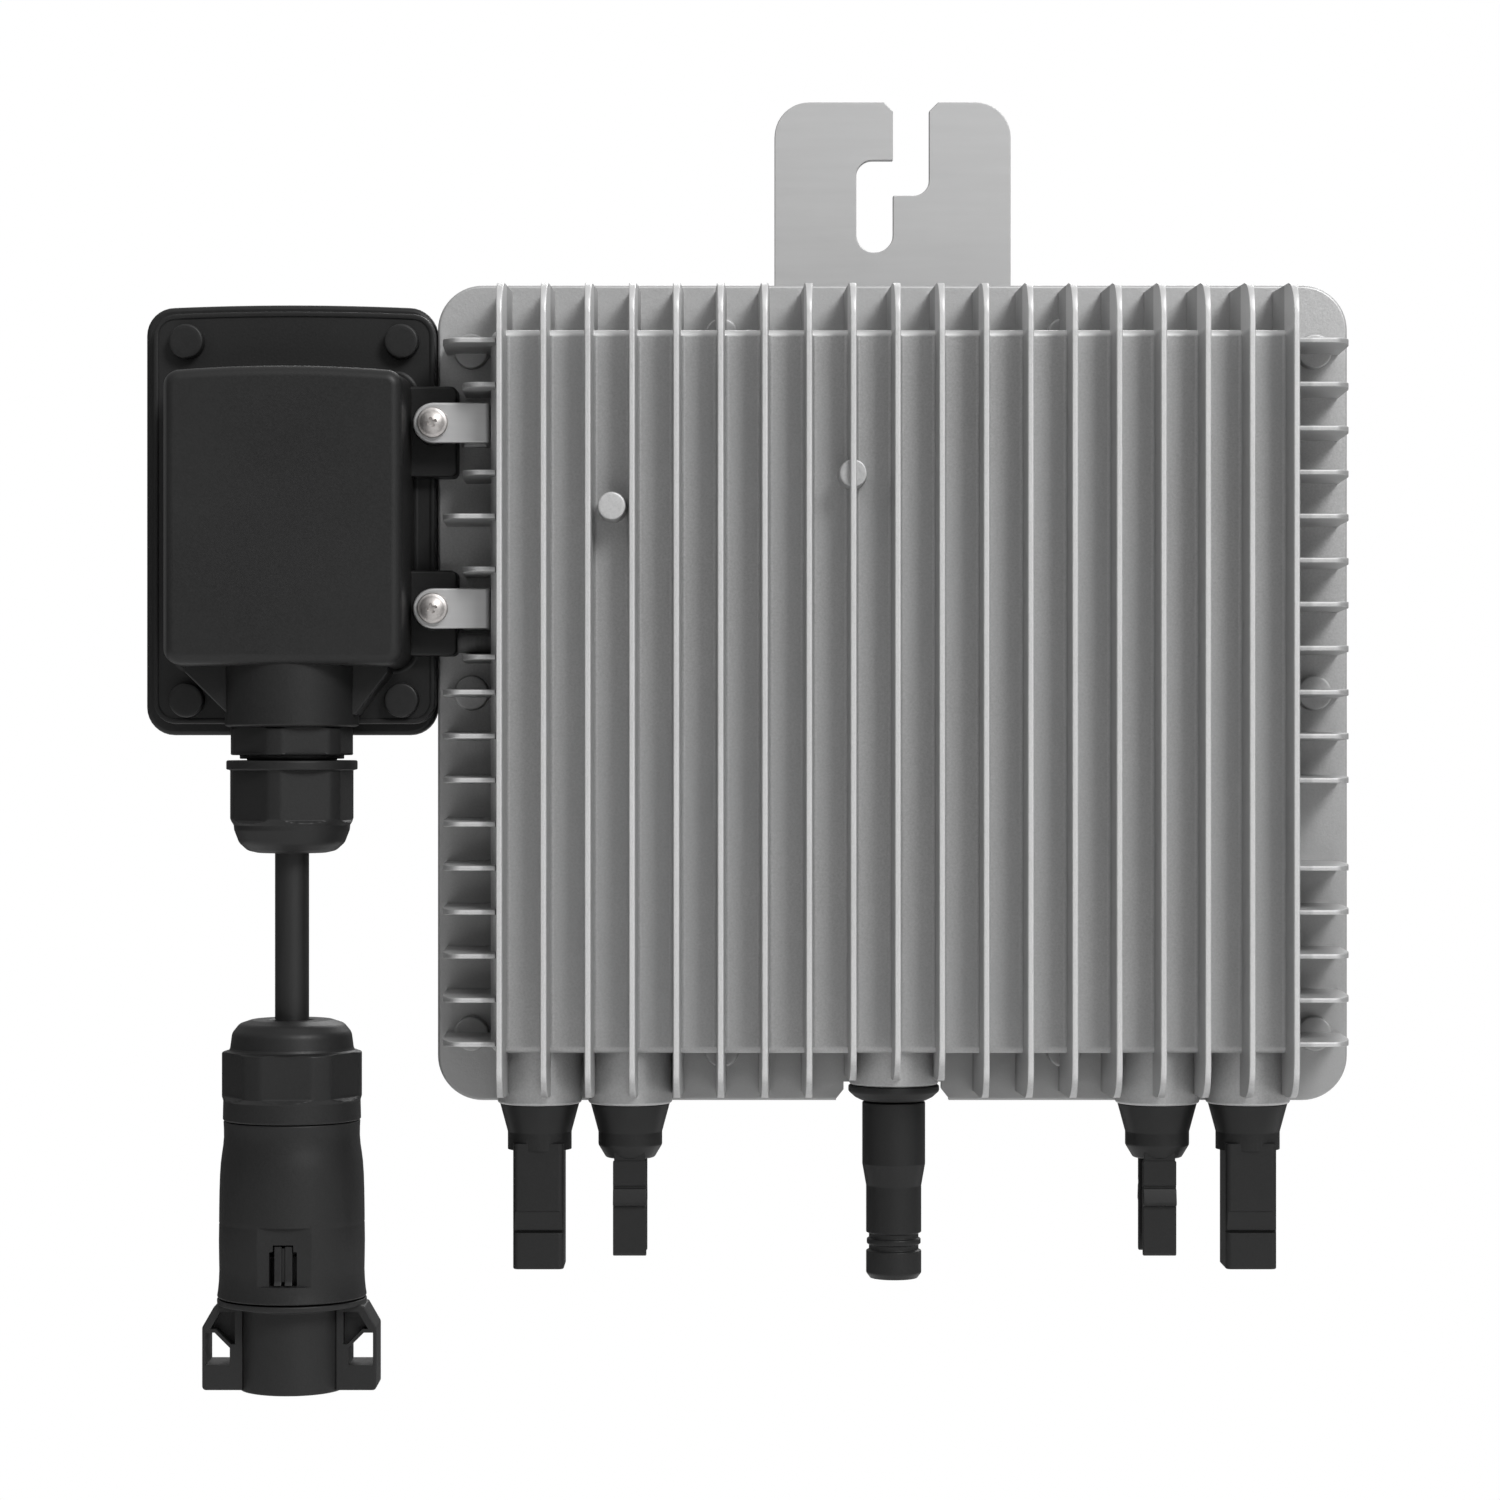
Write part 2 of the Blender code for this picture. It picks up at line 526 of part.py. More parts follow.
def crowned(x0, x1, z0, z1, r, crown, seg=4, steps=6):
    """Rounded rectangle whose top edge is crowned."""
    pts = []
    for cx, cz, a0 in ((x1 - r, z1 - r, 0), (x0 + r, z1 - r, 90)):
        for k in range(seg + 1):
            a = math.radians(a0 + 90.0 * k / seg)
            pts.append((cx + r * math.cos(a), cz + r * math.sin(a)))
        if a0 == 0:
            for k in range(1, steps):
                t = k / steps
                x = (x1 - r) + (x0 + r - x1 + r) * t
                pts.append((x, z1 + crown * (1 - (2 * t - 1) ** 2)))
    for cx, cz, a0 in ((x0 + r, z0 + r, 180), (x1 - r, z0 + r, 270)):
        for k in range(seg + 1):
            a = math.radians(a0 + 90.0 * k / seg)
            pts.append((cx + r * math.cos(a), cz + r * math.sin(a)))
    return pts


bm = bmesh.new()
o = crowned(RR_X0, RR_X1, RR_Z0, RR_Z1, 3.7, 0.8)
i_ = crowned(RR_X0 + 1.6, RR_X1 - 1.6, RR_Z0 + 1.6, RR_Z1 - 1.6, 2.6, 0.8)
rings = [[bm.verts.new(Vector((x, y, z)) * MM) for x, z in pts]
         for pts, y in ((o, RB_FL_Y[0] + 2.0), (o, RB_FRONT + 1.6), (i_, RB_FRONT))]
bm.faces.new(rings[0])
bm.faces.new(rings[2][::-1])
for a, b in zip(rings, rings[1:]):
    for i in range(len(a)):
        j = (i + 1) % len(a)
        bm.faces.new((a[i], b[i], b[j], a[j]))
tool("cut_relay_raise", bm, rb, 'UNION')
# cable collar at the bottom with two gussets
bm = bmesh.new()
prism(bm, circle(AC_X, AC_Y, 15.3, 22), 'Z', COLLAR_Z, RR_Z0 + 4.0)
tool("cut_relay_collar", bm, rb, 'UNION')
bm = bmesh.new()
prism(bm, [(-161.9, RR_Z0 + 2.0), (-161.9, -94.7), (-151.8, -104.5), (-147.9, -104.5), (-147.9, RR_Z0 + 2.0)],
      'Y', -26.5, -10.0)
prism(bm, [(-115.5, RR_Z0 + 2.0), (-115.5, -94.9), (-122.9, -104.5), (-126.3, -104.5), (-126.3, RR_Z0 + 2.0)],
      'Y', -26.5, -10.0)
tool("cut_relay_gussets", bm, rb, 'UNION')
# clamp ears over the inverter flange
bm = bmesh.new()
for z1, z0 in EARS:
    prism(bm, rrect(-112.9, -100.4, z0, z1, 1.5, 2), 'Y', -18.2, FL_Y0 - GAP)
tool("cut_relay_ears", bm, rb, 'UNION')
bm = bmesh.new()
for (z1, z0), zs in zip(EARS, STRAP_Z):
    prism(bm, circle(STRAP_X, zs, 4.9, 12), 'Y', -24.0, -17.0)
for x, z in RB_SCREWS:
    prism(bm, circle(x, z, 3.95, 12), 'Y', -17.0, RB_FL_Y[0] + 2.0)
tool("cut_relay_bosses", bm, rb, 'UNION')
# the collar is cut flat at the parting face
bm = bmesh.new()
box(bm, AC_X - 20.0, AC_X + 20.0, RB_FL_Y[1], 2.0, RB_Z0 - 2.0, RR_Z0 + 6.0)
tool("cut_relay_parting", bm, rb, 'DIFFERENCE')
# the foot of the flange is cleared for the hexagon of the gland
bm = bmesh.new()
prism(bm, circle(AC_X, AC_Y, 14.9, 24), 'Z', -112.0, COLLAR_Z)
tool("cut_relay_foot", bm, rb, 'DIFFERENCE')
# hollow, open at the back
bm = bmesh.new()
prism(bm, rrect(RR_X0 + 2.4, RR_X1 - 2.4, RR_Z0 + 2.4, RR_Z1 - 2.2, 2.0, 2), 'Y', RB_FRONT + 2.4, 0.0)
tool("cut_relay_hollow", bm, rb, 'DIFFERENCE')
bm = bmesh.new()
prism(bm, circle(AC_X, AC_Y, 10.35, 18), 'Z', RB_Z0 - 1.0, RR_Z0 + 3.4)
tool("cut_relay_gland_bore", bm, rb, 'DIFFERENCE')
bm = bmesh.new()
prism(bm, circle(LINK_Y, LINK_Z, 2.65, 10), 'X', -116.0, -99.0)
tool("cut_relay_link_bore", bm, rb, 'DIFFERENCE')
bm = bmesh.new()
for zs in STRAP_Z:
    prism(bm, circle(STRAP_X, zs, 1.95, 8), 'Y', -26.0, -13.0)
for x, z in RB_SCREWS:
    prism(bm, circle(x, z, 1.75, 8), 'Y', -14.8, 0.0)
tool("cut_relay_screw_holes", bm, rb, 'DIFFERENCE')
# gasket groove in the back of the housing
RS = (-170.3, -109.3, -96.3, -20.9)


def flat_ring(x0, x1, z0, z1, r, w, y0, y1):
    bm = bmesh.new()
    go = rrect(x0 - w, x1 + w, z0 - w, z1 + w, r + w, 3)
    gi = rrect(x0 + w, x1 - w, z0 + w, z1 - w, r - w, 3)
    vo = [[bm.verts.new(Vector((x, y, z)) * MM) for x, z in go] for y in (y0, y1)]
    vi = [[bm.verts.new(Vector((x, y, z)) * MM) for x, z in gi] for y in (y0, y1)]
    n = len(go)
    for i in range(n):
        j = (i + 1) % n
        bm.faces.new((vo[0][i], vo[0][j], vo[1][j], vo[1][i]))
        bm.faces.new((vi[0][i], vi[1][i], vi[1][j], vi[0][j]))
        bm.faces.new((vo[0][i], vi[0][i], vi[0][j], vo[0][j]))
        bm.faces.new((vo[1][i], vo[1][j], vi[1][j], vi[1][i]))
    return bm


SC = (RR_X0 + 0.1, RR_X1 - 0.1, RR_Z0 + 0.1, RR_Z1 - 0.1)
tool("cut_relay_groove", flat_ring(*SC, 3.0, 1.2, RB_FL_Y[1] - 1.3, RB_FL_Y[1] + 0.5), rb, 'DIFFERENCE')
node("relay_box_seal", flat_ring(*SC, 3.0, 0.9, RB_FL_Y[1] - 1.0, RB_FL_Y[1]), "rubber")

bm = bmesh.new()
prism(bm, crowned(RB_X0, RB_X1, RB_Z0, RB_Z1 - 0.5, RB_R, 0.7), 'Y', *RB_COVER_Y)
cover = node("relay_box_cover", bm, "black", 35)
bm = bmesh.new()
prism(bm, rrect(RR_X0 + 2.4, RR_X1 - 2.4, RR_Z0 + 2.4, RR_Z1 - 2.2, 2.0, 2), 'Y', RB_COVER_Y[0] - 1.0, -5.2)
tool("cut_cover_hollow", bm, cover, 'DIFFERENCE')
bm = bmesh.new()
prism(bm, circle(AC_X, AC_Y, 14.9, 24), 'Z', -112.0, COLLAR_Z)
tool("cut_cover_foot", bm, cover, 'DIFFERENCE')
bm = bmesh.new()
bm2 = bmesh.new()
for x, z in RB_SCREWS:
    prism(bm, circle(x, z, 1.75, 8), 'Y', -9.0, -4.0)
    prism(bm2, circle(x, z, 3.3, 10), 'Y', -5.2, -2.0)
tool("cut_cover_holes", bm, cover, 'DIFFERENCE')
tool("cut_cover_sinks", bm2, cover, 'DIFFERENCE')
for i, (x, z) in enumerate(RB_SCREWS):
    pan_screw("relay_cover_screw_%d" % (i + 1), x, z, -4.9, -14.2, r_head=2.8, h=1.7, r=1.4)

bm = bmesh.new()
box(bm, -162.5, -116.0, -12.6, -11.0, -89.5, -29.5)
node("relay_pcb", bm, "board")
for i, z in enumerate((-44.0, -67.0)):
    bm = bmesh.new()
    prism(bm, rrect(-153.0, -124.5, z - 8.0, z + 8.0, 0.8, 2), 'Y', -29.0, -12.9)
    node("relay_%d" % (i + 1), bm, "blue")

# clamp straps: a front leg on the ear, a web on the block wall, a foot on the flange
for nm, zs in zip(("upper", "lower"), STRAP_Z):
    t, r = 1.5, 2.0
    y_f = -24.0 - GAP - t
    x_w = BL_X0 - GAP                     # outer face of the web
    outer = [(STRAP_X - 4.55, y_f)]
    for k in range(4):
        a = math.radians(-90 + 90 * k / 3)
        outer.append((x_w - r + r * math.cos(a), y_f + r + r * math.sin(a)))
    yb = FL_Y0 - GAP
    outer.append((x_w, yb))
    innerp = [(-99.7, yb), (-99.7, yb - t), (x_w - t, yb - t)]
    for k in range(4):
        a = math.radians(0 - 90 * k / 3)
        innerp.append((x_w - r + (r - t) * math.cos(a), y_f + r + (r - t) * math.sin(a)))
    innerp.append((STRAP_X - 4.55, y_f + t))
    bm = bmesh.new()
    prism(bm, outer + innerp, 'Z', zs - STRAP_W / 2, zs + STRAP_W / 2)
    ob = node("strap_" + nm, bm, "steel", 40)
    # rounded free end and screw hole
    bm = bmesh.new()
    xe = STRAP_X + 0.05
    pts = [(xe - 6.0, zs - 6.0), (xe - 6.0, zs + 6.0), (xe, zs + 6.0)]
    for k in range(9):
        a = math.radians(90 + 180 * k / 8)
        pts.append((xe + 4.56 * math.cos(a), zs + 4.56 * math.sin(a)))
    pts.append((xe, zs - 6.0))
    prism(bm, pts, 'Y', -27.0, -22.0)
    tool("cut_strap_end_" + nm, bm, ob, 'DIFFERENCE')
    bm = bmesh.new()
    prism(bm, circle(STRAP_X, zs, 1.95, 8), 'Y', -27.0, -22.0)
    tool("cut_strap_hole_" + nm, bm, ob, 'DIFFERENCE')
    pan_screw("strap_screw_" + nm, STRAP_X, zs, y_f - GAP, -13.8, r_head=3.53, h=2.4, r=1.6, back=False)

# lead that joins the case to the relay box
bm = bmesh.new()
prism(bm, circle(LINK_Y, LINK_Z, 2.3, 10), 'X', -115.6, -88.6)
node("link_cable", bm, "rubber", 40)

# ---- AC gland ----------------------------------------------------------------
FIT = (AC_X, AC_Y, AC_FIT)
G0 = -107.5                               # seat of the gland on the collar, nominal


def hexed(name, bm, mat, flats, z0, z1, turn=20.0):
    """A turned piece whose band z0..z1 is cut to six flats."""
    ob = node(name, bm, mat, 35)
    cut = bmesh.new()
    big = circle(AC_X, AC_Y, 30.0, 24, math.radians(7.5))
    hx = circle(AC_X, AC_Y, flats / math.cos(math.pi / 6), 6, math.radians(turn))
    vb = [[cut.verts.new(Vector((x, y, z)) * MM) for x, y in big] for z in (z0, z1)]
    vh = [[cut.verts.new(Vector((x, y, z)) * MM) for x, y in hx] for z in (z0, z1)]
    for i in range(24):
        j = (i + 1) % 24
        cut.faces.new((vb[0][i], vb[1][i], vb[1][j], vb[0][j]))
    for i in range(6):
        j = (i + 1) % 6
        cut.faces.new((vh[0][i], vh[0][j], vh[1][j], vh[1][i]))
    for lvl in (0, 1):
        eb = [cut.edges.get((vb[lvl][i], vb[lvl][(i + 1) % 24])) for i in range(24)]
        eh = [cut.edges.get((vh[lvl][i], vh[lvl][(i + 1) % 6])) for i in range(6)]
        bmesh.ops.triangle_fill(cut, use_beauty=True, edges=eb + eh)
    tool("cut_hex_" + name, cut, ob, 'DIFFERENCE')
    return ob


bm = bmesh.new()
lathe(bm, [(4.5, -98.6), (9.9, -98.6), (9.9, G0), (14.2, G0), (14.2, -113.7), (12.05, -113.7), (12.05, -114.55),
           (10.4, -114.55), (10.4, -121.6), (6.9, -121.6), (6.9, -118.6), (4.5, -116.6)], AC_X, AC_Y, 18)
hexed("gland_body", bm, "black", 13.1, G0 - 0.6, -113.3)

bm = bmesh.new()
lathe(bm, [(4.35, -119.4), (6.1, -119.4), (6.5, -120.6), (6.5, -129.6), (8.2, -131.4), (8.2, -132.2), (4.35, -132.2)],
      AC_X, AC_Y, 14)
node("gland_seal", bm, "rubber", 40)

bm = bmesh.new()
lathe(bm, [(10.75, -114.9), (15.15, -114.9), (15.15, -117.1), (14.35, -117.4), (14.35, -128.6), (13.4, -130.0),
           (13.2, -131.8), (11.8, -134.5), (8.0, -136.3), (4.6, -136.3), (4.6, -133.4), (8.6, -132.6), (10.75, -129.0)],
      AC_X, AC_Y, 18)
hexed("gland_nut", bm, "black", 13.1, -117.6, -129.2)

# ---- AC lead -----------------------------------------------------------------
cu = bpy.data.curves.new("ac_cable", 'CURVE')
cu.dimensions = '3D'
cu.bevel_depth = CABLE_R * MM
cu.bevel_resolution = 3
cu.use_fill_caps = True
sp = cu.splines.new('POLY')
NSEG = 4
sp.points.add(NSEG)
for k in range(NSEG + 1):
    z = CABLE_Z1 + (CABLE_Z0 - CABLE_Z1) * k / NSEG
    sp.points[k].co = (AC_X * MM, AC_Y * MM, z * MM, 1.0)
lead = bpy.data.objects.new("ac_cable", cu)
bpy.context.scene.collection.objects.link(lead)
cu.materials.append(material("rubber_mat", *MATS["rubber"]))

# ---- AC plug -----------------------------------------------------------------
bm = bmesh.new()
lathe(bm, [(4.35, -178.2), (8.6, -178.2), (8.6, -179.4), (6.7, -181.2), (6.7, -191.0), (6.2, -192.0), (4.35, -192.0)],
      AC_X, AC_Y, 14)
node("plug_seal", bm, "rubber", 40)

bm = bmesh.new()
lathe(bm, [(4.6, -175.0), (9.3, -175.0), (12.0, -175.9), (13.7, -178.0), (14.2, -181.2), (14.4, -181.8),
           (16.1, -182.5), (16.1, -193.9), (15.9, -194.2), (15.9, -198.5), (12.6, -198.5), (12.6, -182.6),
           (9.0, -177.9), (4.6, -177.3)], AC_X, AC_Y, 18)
hexed("plug_nut", bm, "black", 14.9, -182.9, -193.6, 2.0)

# barrel sleeve with the thread for the nut on top
bm = bmesh.new()
lathe(bm, [(7.1, -188.4), (12.2, -188.4), (12.2, -198.8), (15.85, -198.8), (15.7, -203.0), (16.3, -207.0),
           (16.75, -215.0), (16.85, -228.0), (16.8, -234.0), (17.3, -239.0), (13.0, -239.0), (12.6, -203.0),
           (7.1, -203.0)], AC_X, AC_Y, 24)
barrel = node("plug_barrel", bm, "black", 30)
LX = AC_X - 0.3                            # centre of the release tongue
bm = bmesh.new()
box(bm, LX - 3.2, LX + 3.2, AC_Y - 20.0, AC_Y - 11.0, -235.0, -225.4)
tool("cut_barrel_window", bm, barrel, 'DIFFERENCE')
bm = bmesh.new()
box(bm, LX - 7.2, LX + 7.2, AC_Y - 20.0, AC_Y - 15.6, -235.0, -221.5)
tool("cut_barrel_recess", bm, barrel, 'DIFFERENCE')

# contact insert and mating shroud
bm = bmesh.new()
lathe(bm, [(0, -203.4), (12.2, -203.4), (12.2, -226.0), (10.9, -226.4), (10.9, -236.0), (0, -236.0)],
      AC_X, AC_Y, 18)
insert = node("plug_insert", bm, "black", 35)
bm = bmesh.new()
for k in range(3):
    a = math.radians(90 + 120 * k)
    prism(bm, circle(AC_X + 5.6 * math.cos(a), AC_Y + 5.6 * math.sin(a), 1.2, 10), 'Z', -249.0, -235.0)
tool("cut_insert_pins", bm, insert, 'UNION')
bm = bmesh.new()
lathe(bm, [(11.25, -228.4), (12.05, -228.4), (12.05, -239.35), (17.3, -239.35), (17.3, -241.4), (12.05, -241.4), (12.05, -260.5), (9.6, -260.5), (9.6, -236.4),
           (11.25, -236.4)], AC_X, AC_Y, 22)
shroud = node("plug_shroud", bm, "black", 35)
bm = bmesh.new()
for s in (-1, 1):
    pts = [(10.7, -240.3), (16.0, -240.3), (17.4, -241.0), (20.1, -245.6), (20.1, -260.1), (10.7, -260.1)]
    prism(bm, [(AC_X + s * u, v) for u, v in pts], 'Y', AC_Y - 5.9, AC_Y + 5.9)
tool("cut_shroud_ears", bm, shroud, 'UNION')
bm = bmesh.new()
for s in (-1, 1):
    pts = [(13.7, -250.3), (13.7, -254.3), (19.3, -254.3), (19.3, -246.8), (17.2, -246.8)]
    prism(bm, [(AC_X + s * u, v) for u, v in pts], 'Y', AC_Y - 8.0, AC_Y + 8.0)
tool("cut_shroud_windows", bm, shroud, 'DIFFERENCE')
# release tongue, hinged at its top edge
bm = bmesh.new()
y0 = AC_Y - 15.2
prism(bm, [(y0, -225.8), (y0 - 0.1, -233.6), (y0 - 0.9, -234.6), (y0 + 0.9, -234.6), (y0 + 1.5, -225.8)], 'X',
      LX - 2.1, LX + 2.1)
node("plug_latch", bm, "black")
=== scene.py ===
import bpy
import bmesh
import json
import math
import numpy as np
from mathutils import Matrix, Vector


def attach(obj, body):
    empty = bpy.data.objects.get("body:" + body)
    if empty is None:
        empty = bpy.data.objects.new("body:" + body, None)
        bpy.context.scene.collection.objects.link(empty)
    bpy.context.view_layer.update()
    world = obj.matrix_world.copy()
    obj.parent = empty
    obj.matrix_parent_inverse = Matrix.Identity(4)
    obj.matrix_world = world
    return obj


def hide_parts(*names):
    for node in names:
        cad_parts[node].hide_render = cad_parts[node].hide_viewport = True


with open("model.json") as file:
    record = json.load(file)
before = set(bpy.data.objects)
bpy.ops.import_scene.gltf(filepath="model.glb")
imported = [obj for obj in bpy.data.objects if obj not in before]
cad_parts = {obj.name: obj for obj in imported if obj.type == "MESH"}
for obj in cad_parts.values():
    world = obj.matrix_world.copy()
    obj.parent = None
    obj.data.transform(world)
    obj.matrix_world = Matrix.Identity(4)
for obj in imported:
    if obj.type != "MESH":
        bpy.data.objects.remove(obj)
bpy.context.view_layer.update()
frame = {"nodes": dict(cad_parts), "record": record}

MM = 0.001
SC = bpy.context.scene
LINK = SC.collection.objects.link


# =========================================================================
# node-based materials
# =========================================================================
class Mat:
    """Small helper that builds a Principled material from procedural nodes."""

    def __init__(self, name, metallic=0.0, rough=0.5, base=(0.5, 0.5, 0.5), **fixed):
        self.m = bpy.data.materials.new(name)
        self.m.use_nodes = True
        self.t = self.m.node_tree
        self.b = self.t.nodes["Principled BSDF"]
        self.b.inputs["Metallic"].default_value = metallic
        self.b.inputs["Roughness"].default_value = rough
        self.b.inputs["Base Color"].default_value = (*base, 1)
        for k, v in fixed.items():
            self.b.inputs[k.replace("_", " ")].default_value = v
        self.co = self.t.nodes.new("ShaderNodeTexCoord").outputs["Object"]
        self.bump_in = None

    def node(self, kind, **props):
        n = self.t.nodes.new(kind)
        for k, v in props.items():
            setattr(n, k, v)
        return n

    def link(self, a, b):
        self.t.links.new(a, b)

    def mapping(self, scale=(1, 1, 1), rot=(0, 0, 0)):
        n = self.node("ShaderNodeMapping")
        n.inputs["Scale"].default_value = scale
        n.inputs["Rotation"].default_value = rot
        self.link(self.co, n.inputs["Vector"])
        return n.outputs["Vector"]

    def noise(self, scale, detail=3.0, rough=0.55, vec=None, dist=0.0):
        n = self.node("ShaderNodeTexNoise")
        n.inputs["Scale"].default_value = scale
        n.inputs["Detail"].default_value = detail
        n.inputs["Roughness"].default_value = rough
        n.inputs["Distortion"].default_value = dist
        self.link(vec or self.co, n.inputs["Vector"])
        return n.outputs["Fac"]

    def voronoi(self, scale, feature="F1", vec=None):
        n = self.node("ShaderNodeTexVoronoi", feature=feature)
        n.inputs["Scale"].default_value = scale
        self.link(vec or self.co, n.inputs["Vector"])
        return n.outputs["Distance"]

    def ramp(self, src, stops):
        n = self.node("ShaderNodeValToRGB")
        e = n.color_ramp.elements
        while len(e) < len(stops):
            e.new(0.5)
        for el, (p, c) in zip(e, stops):
            el.position = p
            el.color = (*c, 1) if len(c) == 3 else c
        self.link(src, n.inputs["Fac"])
        return n.outputs["Color"]

    def rng(self, src, a, b, lo=0.0, hi=1.0):
        n = self.node("ShaderNodeMapRange")
        n.inputs["From Min"].default_value = lo
        n.inputs["From Max"].default_value = hi
        n.inputs["To Min"].default_value = a
        n.inputs["To Max"].default_value = b
        self.link(src, n.inputs["Value"])
        return n.outputs["Result"]

    def mul(self, a, b, op="MULTIPLY"):
        n = self.node("ShaderNodeMath", operation=op)
        for i, v in enumerate((a, b)):
            if hasattr(v, "is_linked"):
                self.link(v, n.inputs[i])
            else:
                n.inputs[i].default_value = v
        return n.outputs["Value"]

    def mix(self, fac, a, b, kind="MIX"):
        n = self.node("ShaderNodeMix", data_type="RGBA", blend_type=kind)
        for s, v in ((n.inputs[0], fac), (n.inputs[6], a), (n.inputs[7], b)):
            if hasattr(v, "is_linked"):
                self.link(v, s)
            elif isinstance(v, (int, float)):
                s.default_value = v
            else:
                s.default_value = (*v, 1)
        return n.outputs[2]

    def bump(self, height, strength, dist):
        n = self.node("ShaderNodeBump")
        n.inputs["Strength"].default_value = strength
        n.inputs["Distance"].default_value = dist
        self.link(height, n.inputs["Height"])
        if self.bump_in:
            self.link(self.bump_in, n.inputs["Normal"])
        self.bump_in = n.outputs["Normal"]

    def colour(self, c):
        self.link(c, self.b.inputs["Base Color"])

    def rough(self, r):
        self.link(r, self.b.inputs["Roughness"])

    def done(self):
        if self.bump_in:
            self.link(self.bump_in, self.b.inputs["Normal"])
        return self.m

    def pointy(self, lo=0.5, hi=0.6):
        g = self.node("ShaderNodeNewGeometry")
        return self.rng(g.outputs["Pointiness"], 0.0, 1.0, lo, hi)


def grey(v, tint=(1.0, 1.0, 1.0)):
    return tuple(v * t for t in tint)


def cast_alu():
    m = Mat("cast_aluminium", metallic=0.55, rough=0.5, base=grey(0.5))
    grain = m.noise(1900.0, 4.0, 0.7)
    cloud = m.noise(26.0, 4.0, 0.55)
    fleck = m.voronoi(1300.0)
    c = m.ramp(grain, [(0.30, grey(0.400)), (0.5, grey(0.465)), (0.72, grey(0.530))])
    c = m.mix(m.rng(cloud, 0.0, 0.35, 0.4, 0.68), c, grey(0.43, (0.985, 1.0, 1.01)))
    c = m.mix(m.rng(fleck, 0.30, 0.0, 0.0, 0.30), c, grey(0.36))
    # painted highlight: the crests of the fins and ribs and the front edge of the block are painted bright as if lit,
    # broken up by the grain
    xyz = m.node("ShaderNodeSeparateXYZ")
    m.link(m.co, xyz.inputs[0])
    highlight_grain = m.rng(grain, 0.75, 1.0, 0.35, 0.6)
    crest = m.mul(m.rng(xyz.outputs["Y"], 1.0, 0.0, -0.0398, -0.0388), highlight_grain)
    c = m.mix(crest, c, grey(0.66))
    ax = m.mul(xyz.outputs["X"], 0.0, "ABSOLUTE")
    rib_zone = m.mul(m.rng(ax, 0.0, 1.0, 0.0932, 0.0940), m.rng(xyz.outputs["Y"], 1.0, 0.0, -0.0349, -0.0342))
    c = m.mix(m.mul(rib_zone, highlight_grain), c, grey(0.60))
    # painted highlight on the block's top front edge, standing in for light from above
    block_edge_highlight = m.mul(m.rng(xyz.outputs["Y"], 1.0, 0.0, -0.0270, -0.0262), m.rng(xyz.outputs["Z"], 0.0, 1.0, -0.0186, -0.0176))
    c = m.mix(m.mul(block_edge_highlight, 0.9), c, grey(0.72))
    # painted shade darkens the flange towards its foot, and painted light brightens it towards its top
    web = m.rng(xyz.outputs["Y"], 0.0, 1.0, -0.0145, -0.0125)
    c = m.mix(m.mul(m.mul(m.rng(xyz.outputs["Z"], 0.62, 0.0, -0.195, -0.060), web), m.rng(grain, 0.85, 1.0, 0.35, 0.65)), c, grey(0.30))
    c = m.mix(m.mul(m.rng(xyz.outputs["Z"], 0.0, 0.5, -0.050, 0.0), web), c, grey(0.56))
    m.colour(c)
    r = m.mul(m.rng(grain, -0.07, 0.07, 0.3, 0.7), m.rng(cloud, 0.44, 0.56, 0.3, 0.7), "ADD")
    m.rough(r)
    m.bump(grain, 0.30, 0.00012)
    m.bump(m.noise(420.0, 2.0), 0.14, 0.00025)
    m.bump(m.voronoi(900.0), 0.10, 0.0001)
    return m.done()


def zinc_sheet(name, run, base, rough=0.36, metallic=0.7):
    """Rolled sheet metal; run = scale that stretches the grain along the sheet."""
    m = Mat(name, metallic=metallic, rough=rough, base=grey(base))
    lines = m.noise(700.0, 4.0, 0.6, m.mapping(run))
    fine = m.noise(2600.0, 3.0, 0.6)
    cloud = m.noise(30.0, 3.0)
    c = m.ramp(lines, [(0.3, grey(base * 0.97)), (0.7, grey(base * 1.02))])
    c = m.mix(m.rng(cloud, 0.0, 0.35, 0.42, 0.7), c, grey(base * 0.95, (0.99, 1.0, 1.015)))
    m.colour(c)
    m.rough(m.mul(m.rng(lines, -0.02, 0.03, 0.3, 0.7), m.rng(cloud, rough - 0.02, rough + 0.05, 0.3, 0.7), "ADD"))
    m.bump(lines, 0.05, 0.00003)
    m.bump(fine, 0.12, 0.00004)
    return m.done()


def screw_steel():
    m = Mat("screw_steel", metallic=0.9, rough=0.4, base=(0.60, 0.575, 0.56))
    n = m.noise(1500.0, 4.0, 0.6)
    cloud = m.noise(300.0, 3.0)
    m.colour(m.ramp(n, [(0.3, (0.50, 0.475, 0.46)), (0.7, (0.64, 0.615, 0.60))]))
    m.rough(m.mul(m.rng(n, -0.03, 0.04, 0.3, 0.7), m.rng(cloud, 0.44, 0.52, 0.3, 0.7), "ADD"))
    m.bump(n, 0.08, 0.00005)
    return m.done()


